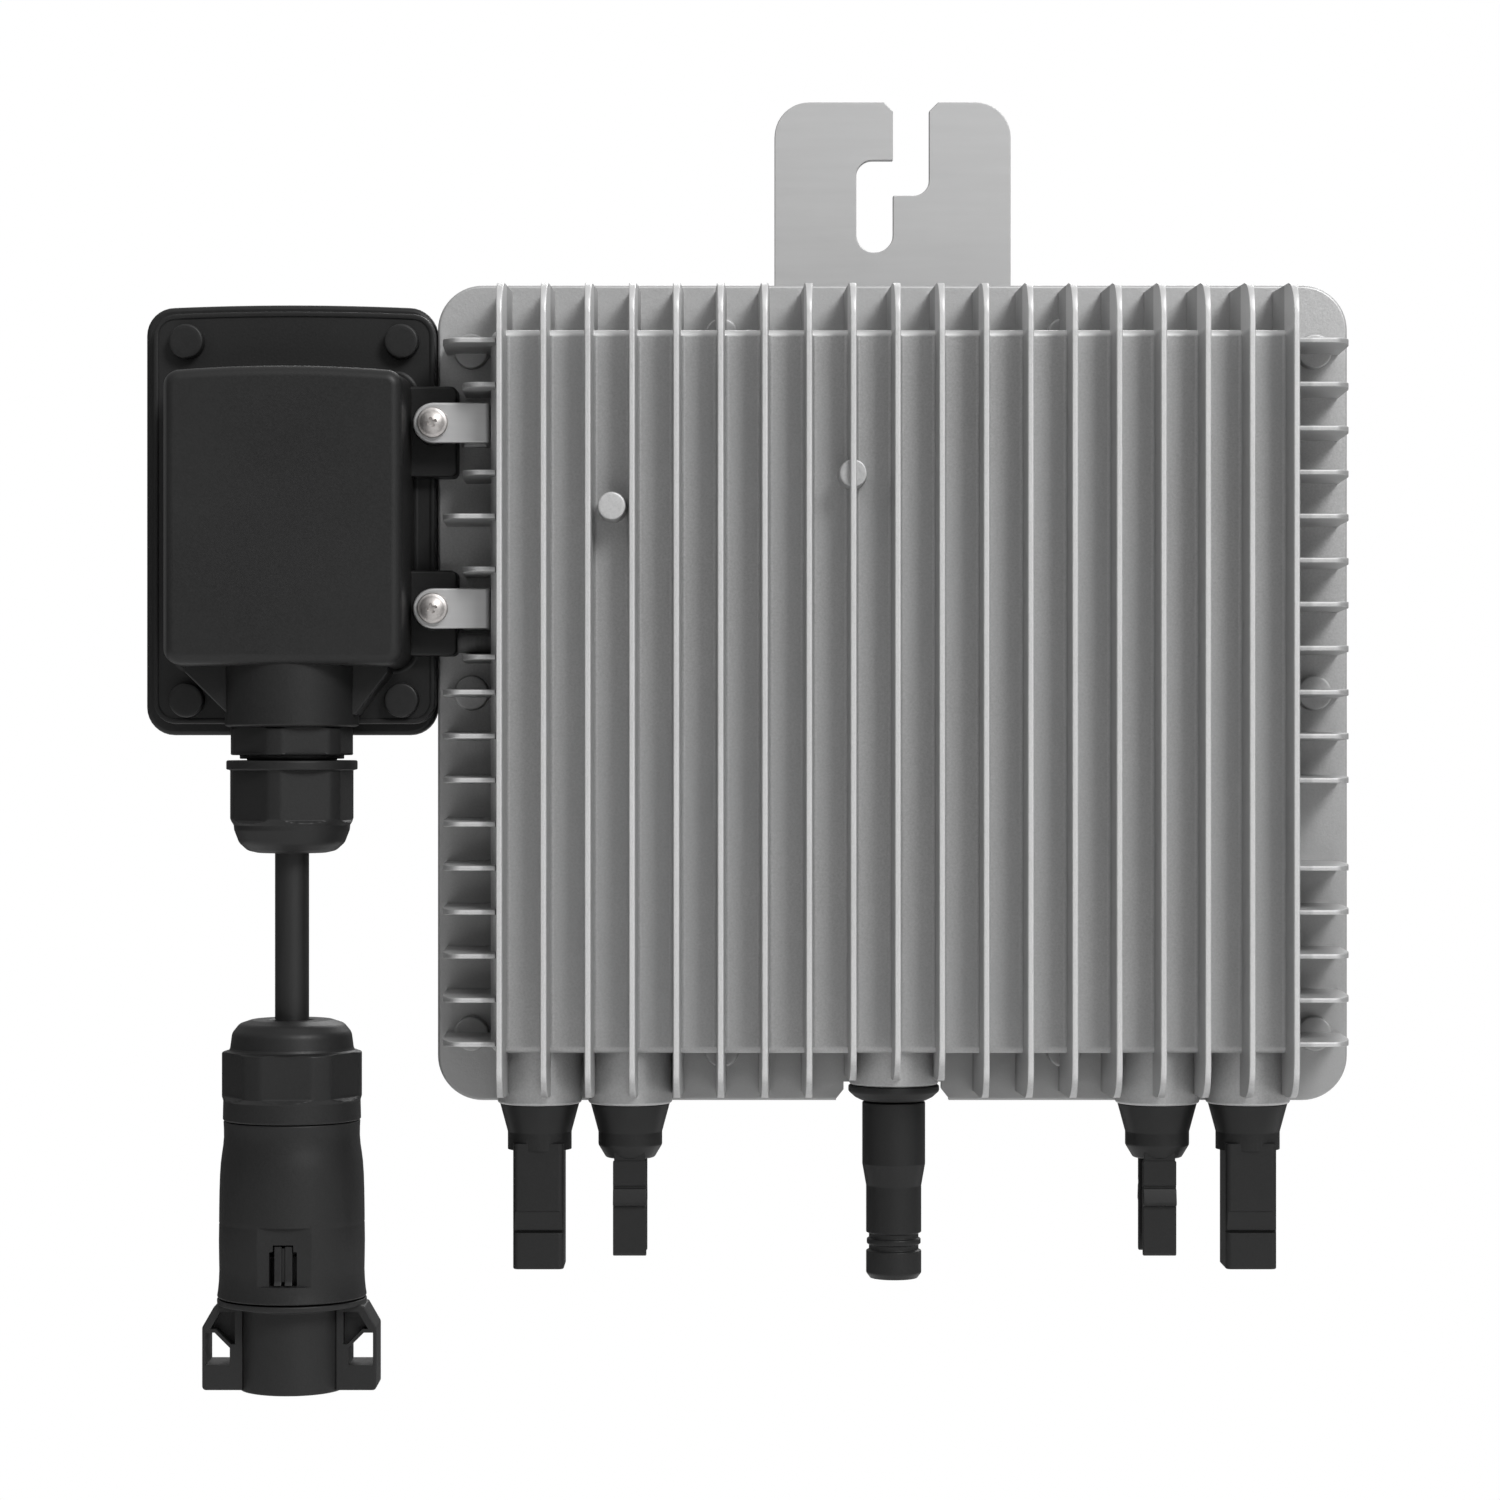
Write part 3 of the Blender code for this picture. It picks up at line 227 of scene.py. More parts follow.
def black_plastic(name, base, rough, grain=2200.0, bump=0.22, cloud_amt=0.35, spec=0.5):
    m = Mat(name, metallic=0.0, rough=rough, base=grey(base), Specular_IOR_Level=spec)
    g = m.noise(grain, 3.0, 0.6)
    g2 = m.voronoi(grain * 0.62)
    cloud = m.noise(22.0, 4.0)
    c = m.ramp(g, [(0.3, grey(base * 0.86)), (0.7, grey(base * 1.14, (1.0, 1.0, 1.01)))])
    c = m.mix(m.rng(cloud, 0.0, cloud_amt, 0.4, 0.7), c, grey(base * 1.25, (1.0, 1.0, 1.0)))
    # painted highlight: the outer edge of the relay box's raised face is painted pale as if lit from the side
    xyz = m.node("ShaderNodeSeparateXYZ")
    m.link(m.co, xyz.inputs[0])
    edge = m.mul(m.rng(xyz.outputs["X"], 1.0, 0.0, -0.1648, -0.1642), m.rng(xyz.outputs["Y"], 1.0, 0.0, -0.0320, -0.0280))
    c = m.mix(m.mul(edge, 0.8), c, grey(0.085))
    m.colour(c)
    m.rough(m.mul(m.rng(g, -0.05, 0.05, 0.3, 0.7), m.rng(cloud, rough - 0.04, rough + 0.05, 0.3, 0.7), "ADD"))
    m.bump(g, bump, 0.00006)
    m.bump(g2, bump * 0.7, 0.00005)
    return m.done()


def jacket(name, base):
    m = Mat(name, metallic=0.0, rough=0.48, base=grey(base))
    lines = m.noise(1600.0, 3.0, 0.6, m.mapping((1.0, 1.0, 0.03)))
    g = m.noise(2400.0, 3.0)
    m.colour(m.ramp(lines, [(0.3, grey(base * 0.88)), (0.7, grey(base * 1.15))]))
    m.rough(m.mul(m.rng(lines, -0.04, 0.05, 0.3, 0.7), m.rng(g, 0.43, 0.54, 0.3, 0.7), "ADD"))
    m.bump(lines, 0.14, 0.00005)
    m.bump(g, 0.10, 0.00004)
    return m.done()


def rubber(name="seal_rubber", base=0.018):
    m = Mat(name, metallic=0.0, rough=0.68, base=grey(base), Specular_IOR_Level=0.35)
    g = m.noise(1500.0, 4.0, 0.65)
    dust = m.noise(60.0, 4.0)
    c = m.ramp(g, [(0.3, grey(base * 0.8)), (0.7, grey(base * 1.3))])
    m.colour(m.mix(m.rng(dust, 0.0, 0.25, 0.5, 0.75), c, grey(base * 2.4)))
    m.rough(m.rng(g, 0.6, 0.78, 0.3, 0.7))
    m.bump(g, 0.2, 0.00008)
    return m.done()


def board():
    m = Mat("circuit_board", metallic=0.0, rough=0.35, base=(0.02, 0.14, 0.06))
    tr = m.voronoi(380.0, "DISTANCE_TO_EDGE")
    g = m.noise(900.0, 3.0)
    c = m.ramp(tr, [(0.0, (0.03, 0.22, 0.09)), (0.08, (0.015, 0.12, 0.05)), (1.0, (0.012, 0.10, 0.045))])
    m.colour(m.mix(m.rng(g, 0.0, 0.3), c, (0.02, 0.16, 0.07)))
    m.rough(m.rng(g, 0.28, 0.44))
    m.bump(tr, 0.2, 0.00005)
    return m.done()


def wire():
    m = Mat("copper_wire", metallic=1.0, rough=0.3, base=(0.70, 0.33, 0.15))
    w = m.node("ShaderNodeTexWave", wave_type="BANDS", bands_direction="X")
    w.inputs["Scale"].default_value = 320.0
    m.link(m.co, w.inputs["Vector"])
    g = m.noise(700.0, 3.0)
    m.colour(m.mix(m.rng(g, 0.0, 0.6), (0.72, 0.34, 0.15), (0.55, 0.22, 0.09)))
    m.rough(m.rng(g, 0.22, 0.4))
    m.bump(w.outputs["Fac"], 0.6, 0.0003)
    return m.done()


def plain(name, base, rough, metallic=0.0, scale=900.0):
    m = Mat(name, metallic=metallic, rough=rough, base=base)
    g = m.noise(scale, 4.0, 0.6)
    lo = tuple(0.85 * v for v in base)
    hi = tuple(1.15 * v for v in base)
    m.colour(m.ramp(g, [(0.3, lo), (0.7, hi)]))
    m.rough(m.rng(g, rough - 0.06, rough + 0.08, 0.3, 0.7))
    m.bump(g, 0.15, 0.00006)
    return m.done()


M_CAST = cast_alu()
M_SHEET = zinc_sheet("zinc_sheet", (0.08, 1.0, 1.0), 0.52, 0.52)
M_STRAP = zinc_sheet("strap_sheet", (0.08, 1.0, 1.0), 0.60, 0.46)
M_SCREW = screw_steel()
M_BLACK = black_plastic("black_plastic", 0.0135, 0.46, spec=0.34)
M_CONN = black_plastic("connector_plastic", 0.0120, 0.44, grain=2600.0, bump=0.14, spec=0.32)
M_JACKET = jacket("cable_jacket", 0.010)
M_LINK = jacket("link_jacket", 0.16)
M_RUBBER = rubber()
M_BOARD = board()
M_WIRE = wire()
M_FERRITE = plain("ferrite", (0.05, 0.05, 0.055), 0.6)
M_SLEEVE = plain("capacitor_sleeve", (0.03, 0.03, 0.045), 0.3)
M_RELAY = plain("relay_case", (0.02, 0.06, 0.28), 0.3)
M_BRASS = plain("contact_metal", (0.78, 0.76, 0.70), 0.25, 1.0)

SLOT_MAT = {"cast_aluminium": M_CAST, "zinc_steel": M_SHEET, "screw_steel": M_SCREW, "black_plastic": M_BLACK,
            "connector_plastic": M_CONN, "cable_jacket": M_JACKET, "seal_rubber": M_RUBBER, "circuit_board": M_BOARD,
            "copper_wire": M_WIRE, "ferrite": M_FERRITE, "capacitor_sleeve": M_SLEEVE, "relay_case": M_RELAY}
REC = frame["record"]
NODE_SLOT = {s["node"]: s["material_slot"] for s in REC["subparts"]}
for n_, o_ in frame["nodes"].items():
    mat = SLOT_MAT[NODE_SLOT[n_]]
    if not o_.data.materials:
        o_.data.materials.append(mat)
    for i_ in range(len(o_.material_slots)):
        o_.material_slots[i_].material = mat
BODY_OF = {n: b for b, ns in REC["behaviour"]["bodies"].items() for n in ns}


# =========================================================================
# geometry helpers; all lengths in millimetres until the mesh is made
# =========================================================================
def fillet(pts, r, n=4, closed=True, skip=()):
    """Rounds the corners of a 2-D polyline. r is one radius or one per point."""
    out = []
    m = len(pts)
    for i, p in enumerate(pts):
        rad = r[i] if isinstance(r, (list, tuple)) else r
        if rad <= 0 or (not closed and i in (0, m - 1)) or i in skip:
            out.append(tuple(p))
            continue
        a, b = np.array(pts[i - 1], float), np.array(pts[(i + 1) % m], float)
        q = np.array(p, float)
        u, v = a - q, b - q
        lu, lv = np.linalg.norm(u), np.linalg.norm(v)
        if lu < 1e-9 or lv < 1e-9:
            out.append(tuple(p))
            continue
        u /= lu
        v /= lv
        ang = math.acos(max(-1.0, min(1.0, float(u @ v))))
        if ang > math.radians(176):
            out.append(tuple(p))
            continue
        d = min(rad / math.tan(ang / 2), 0.49 * lu, 0.49 * lv)
        rr = d * math.tan(ang / 2)
        bis = u + v
        bis /= np.linalg.norm(bis)
        cen = q + bis * (rr / math.sin(ang / 2))
        p0, p1 = q + u * d, q + v * d
        a0 = math.atan2(*(p0 - cen)[::-1])
        a1 = math.atan2(*(p1 - cen)[::-1])
        da = (a1 - a0 + math.pi) % (2 * math.pi) - math.pi
        for k in range(n + 1):
            t = a0 + da * k / n
            out.append((cen[0] + rr * math.cos(t), cen[1] + rr * math.sin(t)))
    return out


def rect(x0, x1, z0, z1):
    return [(x0, z0), (x1, z0), (x1, z1), (x0, z1)]


def rrect(x0, x1, z0, z1, r, n=8):
    return fillet(rect(x0, x1, z0, z1), r, n)


def circle(cx, cy, r, n=48, turn=0.0):
    return [(cx + r * math.cos(2 * math.pi * k / n + turn), cy + r * math.sin(2 * math.pi * k / n + turn))
            for k in range(n)]


def area2(pts):
    p = np.array(pts)
    q = np.roll(p, -1, axis=0)
    return float((p[:, 0] * q[:, 1] - q[:, 0] * p[:, 1]).sum()) / 2


def inset(pts, d):
    """Moves a closed outline inwards by d, along its corner bisectors."""
    p = np.array(pts, float)
    if area2(pts) < 0:
        d = -d
    a, b = np.roll(p, 1, axis=0), np.roll(p, -1, axis=0)
    e0, e1 = p - a, b - p
    e0 /= np.linalg.norm(e0, axis=1)[:, None] + 1e-12
    e1 /= np.linalg.norm(e1, axis=1)[:, None] + 1e-12
    n0 = np.stack([-e0[:, 1], e0[:, 0]], 1)
    n1 = np.stack([-e1[:, 1], e1[:, 0]], 1)
    b_ = n0 + n1
    L = np.linalg.norm(b_, axis=1)[:, None]
    b_ /= L + 1e-12
    c = np.clip((b_ * n0).sum(1)[:, None], 0.35, 1)
    return [tuple(v) for v in p + b_ / c * d]


def at(axis, u, v, w):
    if axis == "Y":
        return (u, w, v)
    if axis == "X":
        return (w, u, v)
    return (u, v, w)


class Build:
    """Collects closed shells into one mesh."""

    def __init__(self):
        self.v, self.f = [], []

    def loft(self, loops, cap0=True, cap1=True, ring=False):
        base = len(self.v)
        n = len(loops[0])
        for lp in loops:
            self.v.extend(lp)
        m = len(loops)
        for i in range(m if ring else m - 1):
            a, b = base + i * n, base + ((i + 1) % m) * n
            for k in range(n):
                j = (k + 1) % n
                self.f.append((a + k, a + j, b + j, b + k))
        if not ring:
            if cap0:
                self.f.append(tuple(range(base, base + n))[::-1])
            if cap1:
                self.f.append(tuple(range(base + (m - 1) * n, base + m * n)))
        return self

    def slab(self, outline, axis, a, b, ra=0.3, rb=0.3, n=3, draft=0.0):
        """Extrudes an outline from a to b with rounded edges of ra and rb, and
        a draft: extra inset per unit of length, growing towards a."""
        s = 1.0 if b > a else -1.0
        L = abs(b - a)
        st = []
        for k in range(n + 1):
            t = math.pi / 2 * k / n
            st.append((ra * (1 - math.sin(t)) if ra else 0.0, ra * (1 - math.cos(t))))
        st = [(ra * (1 - math.cos(math.pi / 2 * k / n)), ra * (1 - math.sin(math.pi / 2 * k / n)))
              for k in range(n + 1)] if ra > 0 else [(0.0, 0.0)]
        en = [(L - rb * (1 - math.cos(math.pi / 2 * k / n)), rb * (1 - math.sin(math.pi / 2 * k / n)))
              for k in range(n, -1, -1)] if rb > 0 else [(L, 0.0)]
        loops = []
        for d, ins in st + en:
            o = inset(outline, ins + draft * (L - d)) if ins + draft * (L - d) > 1e-6 else outline
            loops.append([at(axis, u, v, a + s * d) for u, v in o])
        return self.loft(loops)

    def turn(self, prof, cx, cy, n=96, axis="Z", closed=False, hexa=None):
        """Turns a profile of (radius, along). hexa = (across-flats/2, turn in
        degrees, lo, hi): between lo and hi the radius is cut to six flats."""
        loops = []
        if not closed:
            while prof[0][0] < 1e-3:
                prof = prof[1:]
            while prof[-1][0] < 1e-3:
                prof = prof[:-1]
        for r, w in prof:
            lp = []
            for k in range(n):
                t = 2 * math.pi * k / n
                rr = r
                if hexa and hexa[2] <= w <= hexa[3]:
                    ph = (t - math.radians(hexa[1])) % (math.pi / 3) - math.pi / 6
                    out = max(0.0, hexa[2] + (hexa[4] if len(hexa) > 4 else 0.0) - w)
                    rr = min(rr, hexa[0] / math.cos(ph) + out)
                lp.append(at(axis, cx + rr * math.cos(t), cy + rr * math.sin(t), w))
            loops.append(lp)
        return self.loft(loops, cap0=not closed, cap1=not closed, ring=closed)

    def grid(self, rows, closed_u=False):
        """An open strip of rows; used for plates whose base is sunk in another solid."""
        base = len(self.v)
        n = len(rows[0])
        for r in rows:
            self.v.extend(r)
        for i in range(len(rows) - 1):
            for k in range(n - 1):
                a = base + i * n + k
                self.f.append((a, a + 1, a + n + 1, a + n))
        return self

    def mesh(self, name):
        me = bpy.data.meshes.new(name)
        me.from_pydata(self.v, [], self.f)
        bm = bmesh.new()
        bm.from_mesh(me)
        bmesh.ops.remove_doubles(bm, verts=bm.verts, dist=2e-4)
        bmesh.ops.dissolve_degenerate(bm, edges=bm.edges, dist=1e-4)
        bmesh.ops.recalc_face_normals(bm, faces=bm.faces)
        bm.to_mesh(me)
        bm.free()
        return me

    def obj(self, name):
        o = bpy.data.objects.new(name, self.mesh(name))
        LINK(o)
        return o


def carve(target, cutter, op="DIFFERENCE"):
    """Applies a boolean at once and removes the cutter."""
    m = target.modifiers.new("cut", "BOOLEAN")
    m.operation, m.solver, m.object = op, "EXACT", cutter
    bpy.context.view_layer.update()
    dg = bpy.context.evaluated_depsgraph_get()
    me = bpy.data.meshes.new_from_object(target.evaluated_get(dg))
    target.modifiers.clear()
    old = target.data
    target.data = me
    bpy.data.meshes.remove(old)
    bpy.data.objects.remove(cutter)
    return target


# Connectors, gland and plug are drawn at nominal size; FIT = (x, y, scale)
# brings a piece to its true size about its own axis.
FIT = None
FIT_Z = -109.04
CONN_FIT, AC_FIT = 0.9927, 0.9872


def place(o, mat, body, replaces=(), smooth=38):
    """Scales a piece from millimetres to metres and ties it to its body."""
    if FIT:
        c = Vector((FIT[0], FIT[1], FIT_Z))
        o.data.transform(Matrix.Translation(c) @ Matrix.Scale(FIT[2], 4) @ Matrix.Translation(-c))
    o.data.transform(Matrix.Scale(MM, 4))
    o.data.materials.clear()
    o.data.materials.append(mat)
    o.data.shade_smooth()
    o.data.set_sharp_from_angle(angle=math.radians(smooth))
    wn = o.modifiers.new("normals", "WEIGHTED_NORMAL")
    wn.keep_sharp = True
    wn.weight = 80
    bpy.context.view_layer.update()
    old = o.data
    me = bpy.data.meshes.new_from_object(o.evaluated_get(bpy.context.evaluated_depsgraph_get()))
    o.modifiers.clear()
    o.data = me
    bpy.data.meshes.remove(old)
    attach(o, body)
    if replaces:
        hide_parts(*replaces)
    return o


# =========================================================================
# camera first, then the free cord
# =========================================================================
CAM_D = 0.903                         # from the flange plane
cam_data = bpy.data.cameras.new("camera")
cam = bpy.data.objects.new("camera", cam_data)
LINK(cam)
SC.camera = cam
cam.location = (-0.03654, -0.0094 - CAM_D, -0.10904)
cam.rotation_euler = (math.radians(90), 0, 0)
cam_data.sensor_width = 36.0
cam_data.lens = 36.0 * CAM_D / 0.348
cam_data.shift_x, cam_data.shift_y = 0.01, -0.01
cam_data.clip_start, cam_data.clip_end = 0.05, 50.0

AC_X, AC_Y = -137.98, -21.0
CABLE_R = 3.93
CZ1, CZ0 = -128.0, -184.2
cu = bpy.data.curves.new("ac_lead", "CURVE")
cu.dimensions = "3D"
cu.bevel_depth = CABLE_R * MM * 0.995
cu.bevel_resolution = 12
cu.use_fill_caps = True
sp = cu.splines.new("POLY")
NP = 24
sp.points.add(NP - 1)
for k in range(NP):
    t = k / (NP - 1)
    sp.points[k].co = (AC_X * MM, AC_Y * MM, (CZ1 + (CZ0 - CZ1) * t) * MM, 1.0)
lead = bpy.data.objects.new("ac_lead", cu)
LINK(lead)
cu.materials.append(M_JACKET)
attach(lead, "inverter")
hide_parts("ac_cable")

# =========================================================================
# front housing
# =========================================================================
FL_Y0, FL_Y1 = -9.4, -5.1
BLOCK_Y, FIN_Y, RIB_Y = -28.5, -40.0, -35.0
FL = (-105.5, 105.5, -193.8, -4.7)
BL = (-92.3, 92.3, -181.6, -16.7)
FIN_N, FIN_X, FIN_P = 19, -89.46, 9.94
RIB_Z, RIB_P = -19.93, 9.93
BOSS_X = (-81.5, -60.65, 60.65, 81.5)
BOSS_R, BOSS_Z, CONN_Y = 9.68, -193.7, -16.0
ANT_X, ANT_R, ANT_Z = 0.0, 10.22, -189.4
CASE_SCREWS = ((-97.55, -20.25), (-97.55, -99.3), (-97.55, -178.15), (97.55, -20.25), (97.55, -99.3),
               (97.55, -178.15), (-39.6, -16.6), (39.6, -16.6), (-39.6, -181.9), (39.6, -181.9))

# flange, with the antenna notch cut out of its lower edge
b = Build()
b.slab(rrect(*FL, 10.4, 14), "Y", FL_Y0, FL_Y1, 0.7, 0.3, 5)
flange = b.obj("housing_flange")
c = Build()
c.slab([(-13.1, -197.0), (-13.1, -193.4), (-11.35, -191.2), (-11.35, ANT_Z - 0.05), (11.35, ANT_Z - 0.05),
        (11.35, -191.2), (13.1, -193.4), (13.1, -197.0)], "Y", -12.0, -3.0, 0, 0, 1)
carve(flange, c.obj("cut"))
place(flange, M_CAST, "inverter", (), 40)
b = Build()
# raised block, drafted, with rounded edges
b.slab(rrect(*BL, 2.6, 8), "Y", BLOCK_Y, FL_Y0 + 1.0, 1.7, 0.0, 7, 0.012)
# concave fillet at the foot of the block
foot = rrect(BL[0] - 0.02, BL[1] + 0.02, BL[2] - 0.02, BL[3] + 0.02, 2.6, 8)
rf = 1.6
loops = []
for k in range(7):
    t = math.pi / 2 * k / 6
    grow = rf * (1 - math.sin(t)) - 0.6
    loops.append([(u, FL_Y0 - rf * (1 - math.cos(t)), v) for u, v in inset(foot, -grow)])
loops.insert(0, [(u, FL_Y0 + 0.8, v) for u, v in inset(foot, -(rf - 0.6))])
b.loft(loops)


def fin_tip(z, z0, z1):
    """Tip depth of a fin at height z: steep ends, long round corner at the crest."""
    d = min(z1 - z, z - z0)
    if d >= 8.2:
        return FIN_Y
    if d <= 0.45:
        return -9.2 - 22.6 * max(d, 0.0) / 0.45
    u = (8.2 - d) / 7.75
    return -31.8 + (FIN_Y + 31.8) * math.sqrt(max(0.0, 1 - u * u))


def plate(stations, tip_of, base, centre, run, tip_r=0.70, draft=0.021, full=FIN_Y, sides=5, arc=6):
    """A drafted plate with a rounded crest. run 'Z': stations are heights and
    centre is x; run 'X': stations are x and centre is the height."""
    loops = []
    for s in stations:
        yt = tip_of(s)
        h = lambda y: tip_r + draft * (y - full)
        ht = h(yt)
        rr = min(ht, 0.42)
        yt = min(yt, base - 0.01)
        pts = []
        span = base - (yt + rr)
        for k in range(sides):
            y = base - span * k / sides
            pts.append((-h(y), y))
        for k in range(arc + 1):
            a = math.pi * k / arc
            pts.append((-(ht - rr) - rr * math.cos(a) if a < math.pi / 2 else (ht - rr) - rr * math.cos(a),
                        yt + rr - rr * math.sin(a)))
        for k in range(sides - 1, -1, -1):
            y = base - span * k / sides
            pts.append((h(y), y))
        if run == "Z":
            loops.append([(centre + u, y, s) for u, y in pts])
        else:
            loops.append([(s, y, centre + u) for u, y in pts])
    return loops


FINS = [FIN_X + FIN_P * i for i in range(FIN_N)]
for i, x in enumerate(FINS):
    z1 = -6.35
    z0 = -187.65 if i in (8, 9, 10) else -191.55
    ends = [0.0, 0.2] + [0.45 + 7.75 * (1 - math.cos(math.pi / 2 * k / 9)) for k in range(10)]
    st = [z1 - e for e in ends] + [z1 - 40.0, z1 - 95.0, z0 + 40.0] + [z0 + e for e in ends[::-1]]
    b.loft(plate(st, lambda z, a=z0, c=z1: fin_tip(z, a, c), FL_Y0 + 0.6, x, "Z"))
    # concave fillets where the fin meets the block face
    hx = 0.66 + 0.021 * (BLOCK_Y - FIN_Y)
    for sgn in (-1, 1):
        if (i == 0 and sgn < 0) or (i == FIN_N - 1 and sgn > 0):
            continue
        rfl = 1.1
        sect = [(hx - 0.4, BLOCK_Y + 0.5), (hx - 0.4, BLOCK_Y - rfl)]
        for k in range(6):
            a = math.pi / 2 * k / 5
            sect.append((hx - 0.05 + rfl * (1 - math.cos(a)), BLOCK_Y + 0.03 - rfl * (1 - math.sin(a))))
        sect.append((hx - 0.05 + rfl, BLOCK_Y + 0.5))
        lo, hi = BL[2] + 1.7, BL[3] - 1.7
        b.loft([[(x + sgn * u, y, z) for u, y in sect] for z in (hi, hi - 60.0, lo + 60.0, lo)])


def rib(side, z, e=None, top=RIB_Y):
    e = side * 103.35 if e is None else e
    root = side * (BL[1] - 1.6)
    ends = [0.0, 0.15] + [0.35 + 4.6 * (1 - math.cos(math.pi / 2 * k / 8)) for k in range(9)]
    st = [e - side * q for q in ends] + [root]

    def tip(x):
        d = abs(e - x)
        if d >= 4.95:
            return top
        if d <= 0.35:
            return -9.2 - 16.9 * d / 0.35
        u = (4.95 - d) / 4.6
        return -26.1 + (top + 26.1) * math.sqrt(max(0.0, 1 - u * u))
    b.loft(plate(st, tip, FL_Y0 + 0.6, z, "X", 0.58, 0.018, RIB_Y))


for k in range(17):
    z = RIB_Z - RIB_P * k
    if k != 11:
        rib(1, z)
for k in (0, 4, 8, 9, 10, 11, 12, 13, 14, 15, 16):
    rib(-1, RIB_Z - RIB_P * k)
for k in (1, 3, 5.2, 7.2):
    rib(-1, RIB_Z - RIB_P * k, -98.95, -34.0)

# bosses
for x, z in CASE_SCREWS:
    b.turn([(0, -12.4), (3.1, -12.4)] + fillet([(3.1, -12.4), (4.0, -12.4), (4.1, FL_Y0 + 0.5)], 0.5, 4, False)[1:] +
           [(0, FL_Y0 + 0.5)], x, z, 40, "Y")
for x, z, y in ((-64.24, -57.56, -39.3), (-9.94, -50.15, -38.2)):
    b.turn([(0, y), (2.2, y)] + fillet([(2.2, y), (3.15, y), (3.35, BLOCK_Y + 0.5)], 0.55, 5, False)[1:] +
           [(0, BLOCK_Y + 0.5)], x, z, 48, "Y")
for x in BOSS_X:
    b.turn([(0, BOSS_Z), (6.45, BOSS_Z)] + fillet([(6.45, BOSS_Z), (BOSS_R, BOSS_Z), (BOSS_R, -178.0)], 0.7, 5, False)[1:] +
           [(0, -178.0)], x, CONN_Y, 72)
b.turn([(0, ANT_Z), (4.5, ANT_Z)] + fillet([(4.5, ANT_Z), (ANT_R, ANT_Z), (ANT_R, -178.0)], 0.6, 5, False)[1:] +
       [(0, -178.0)], ANT_X, CONN_Y, 72)
housing = place(b.obj("housing_casting"), M_CAST, "inverter", ("front_housing",), 40)

# =========================================================================
# back plate and bracket
# =========================================================================
b = Build()
b.slab(rrect(-104.6, 104.6, -189.6, -5.6, 9.6, 10), "Y", -4.8, -2.8, 0.25, 0.5, 3)
plate_o = b.obj("back_plate_sheet")
c = Build()
for x, z in CASE_SCREWS + ((-19.0, -9.5), (19.0, -9.5)):
    c.turn([(0, -6), (1.95, -6), (1.95, 0), (0, 0)], x, z, 32, "Y")
carve(plate_o, c.obj("cut"))
place(plate_o, M_SHEET, "inverter", ("back_plate",), 30)
# shallow pressed stiffening beads in the back plate
b = Build()
for zc in (-92.0, -120.0, -148.0):
    b.slab(fillet(rect(-78.0, 78.0, zc - 3.0, zc + 3.0), 3.0, 8), "Y", -3.6, -2.25, 0.0, 0.5, 4)
place(b.obj("back_plate_beads"), M_SHEET, "inverter", (), 40)

BT = 38.9
SL, SR = 0.38, 8.84
pts = [(-27.3, -62.0), (27.9, -62.0), (27.9, BT), (SR + 2.1, BT), (SR, BT - 2.1), (SR, 17.06), (SL, 17.06), (SL, 3.81),
       (SL - 8.56, 3.81), (SL - 8.56, 25.32), (SL, 25.32), (SL, BT - 2.1), (SL - 2.1, BT), (-27.3, BT)]
rad = [3.0, 3.0, 8.16, 0.25, 0.25, 3.7, 0.25, 4.27, 4.27, 3.7, 0.25, 0.25, 0.25, 8.16]
b = Build()
b.slab(fillet(pts, rad, 10), "Y", -2.5, 0.0, 0.22, 0.22, 3)
br = b.obj("bracket_sheet")
c = Build()
for x, z in ((-19.0, -9.5), (19.0, -9.5)):
    c.turn([(0, -3.5), (2.0, -3.5), (2.0, -2.4), (4.3, 0.0), (4.3, 0.6), (0, 0.6)], x, z, 40, "Y")
carve(br, c.obj("cut"))
place(br, M_SHEET, "inverter", ("mounting_bracket",), 30)


# =========================================================================
# screws
# =========================================================================
def pan_head(name, node, x, z, seat, tip, rh, h, r, back, body="inverter"):
    s = 1.0 if back else -1.0
    b = Build()
    prof = [(0, tip), (r * 0.7, tip), (r, tip + s * 0.6), (r, seat), (rh * 0.97, seat), (rh, seat + s * h * 0.12)]
    wall = h * 0.52
    for k in range(1, 6):
        t = math.pi / 2 * k / 5
        prof.append((rh - 0.55 * (1 - math.cos(t)), seat + s * (wall - 0.45 + 0.45 * math.sin(t))))
    for k in range(1, 9):
        q = 1 - k / 9.0
        prof.append(((rh - 0.55) * q, seat + s * (wall + (h - wall) * (1 - q * q))))
    b.turn(prof, x, z, 48, "Y")
    o = b.obj(name)
    c = Build()
    top = seat + s * h
    for k in range(2):
        w, l = rh * 0.10, rh * 0.36
        a0 = math.pi / 2 * k + 0.35
        loops = []
        for d, sc in ((0.5, 1.05), (-h * 0.34, 0.75)):
            lp = []
            for u, v in ((-l * sc, -w), (l * sc, -w), (l * sc, w), (-l * sc, w)):
                lp.append((x + u * math.cos(a0) - v * math.sin(a0), top + s * d, z + u * math.sin(a0) + v * math.cos(a0)))
            loops.append(lp)
        c2 = Build()
        c2.loft(loops)
        carve(o, c2.obj("cut"))
    place(o, M_SCREW, body, (node,), 35)


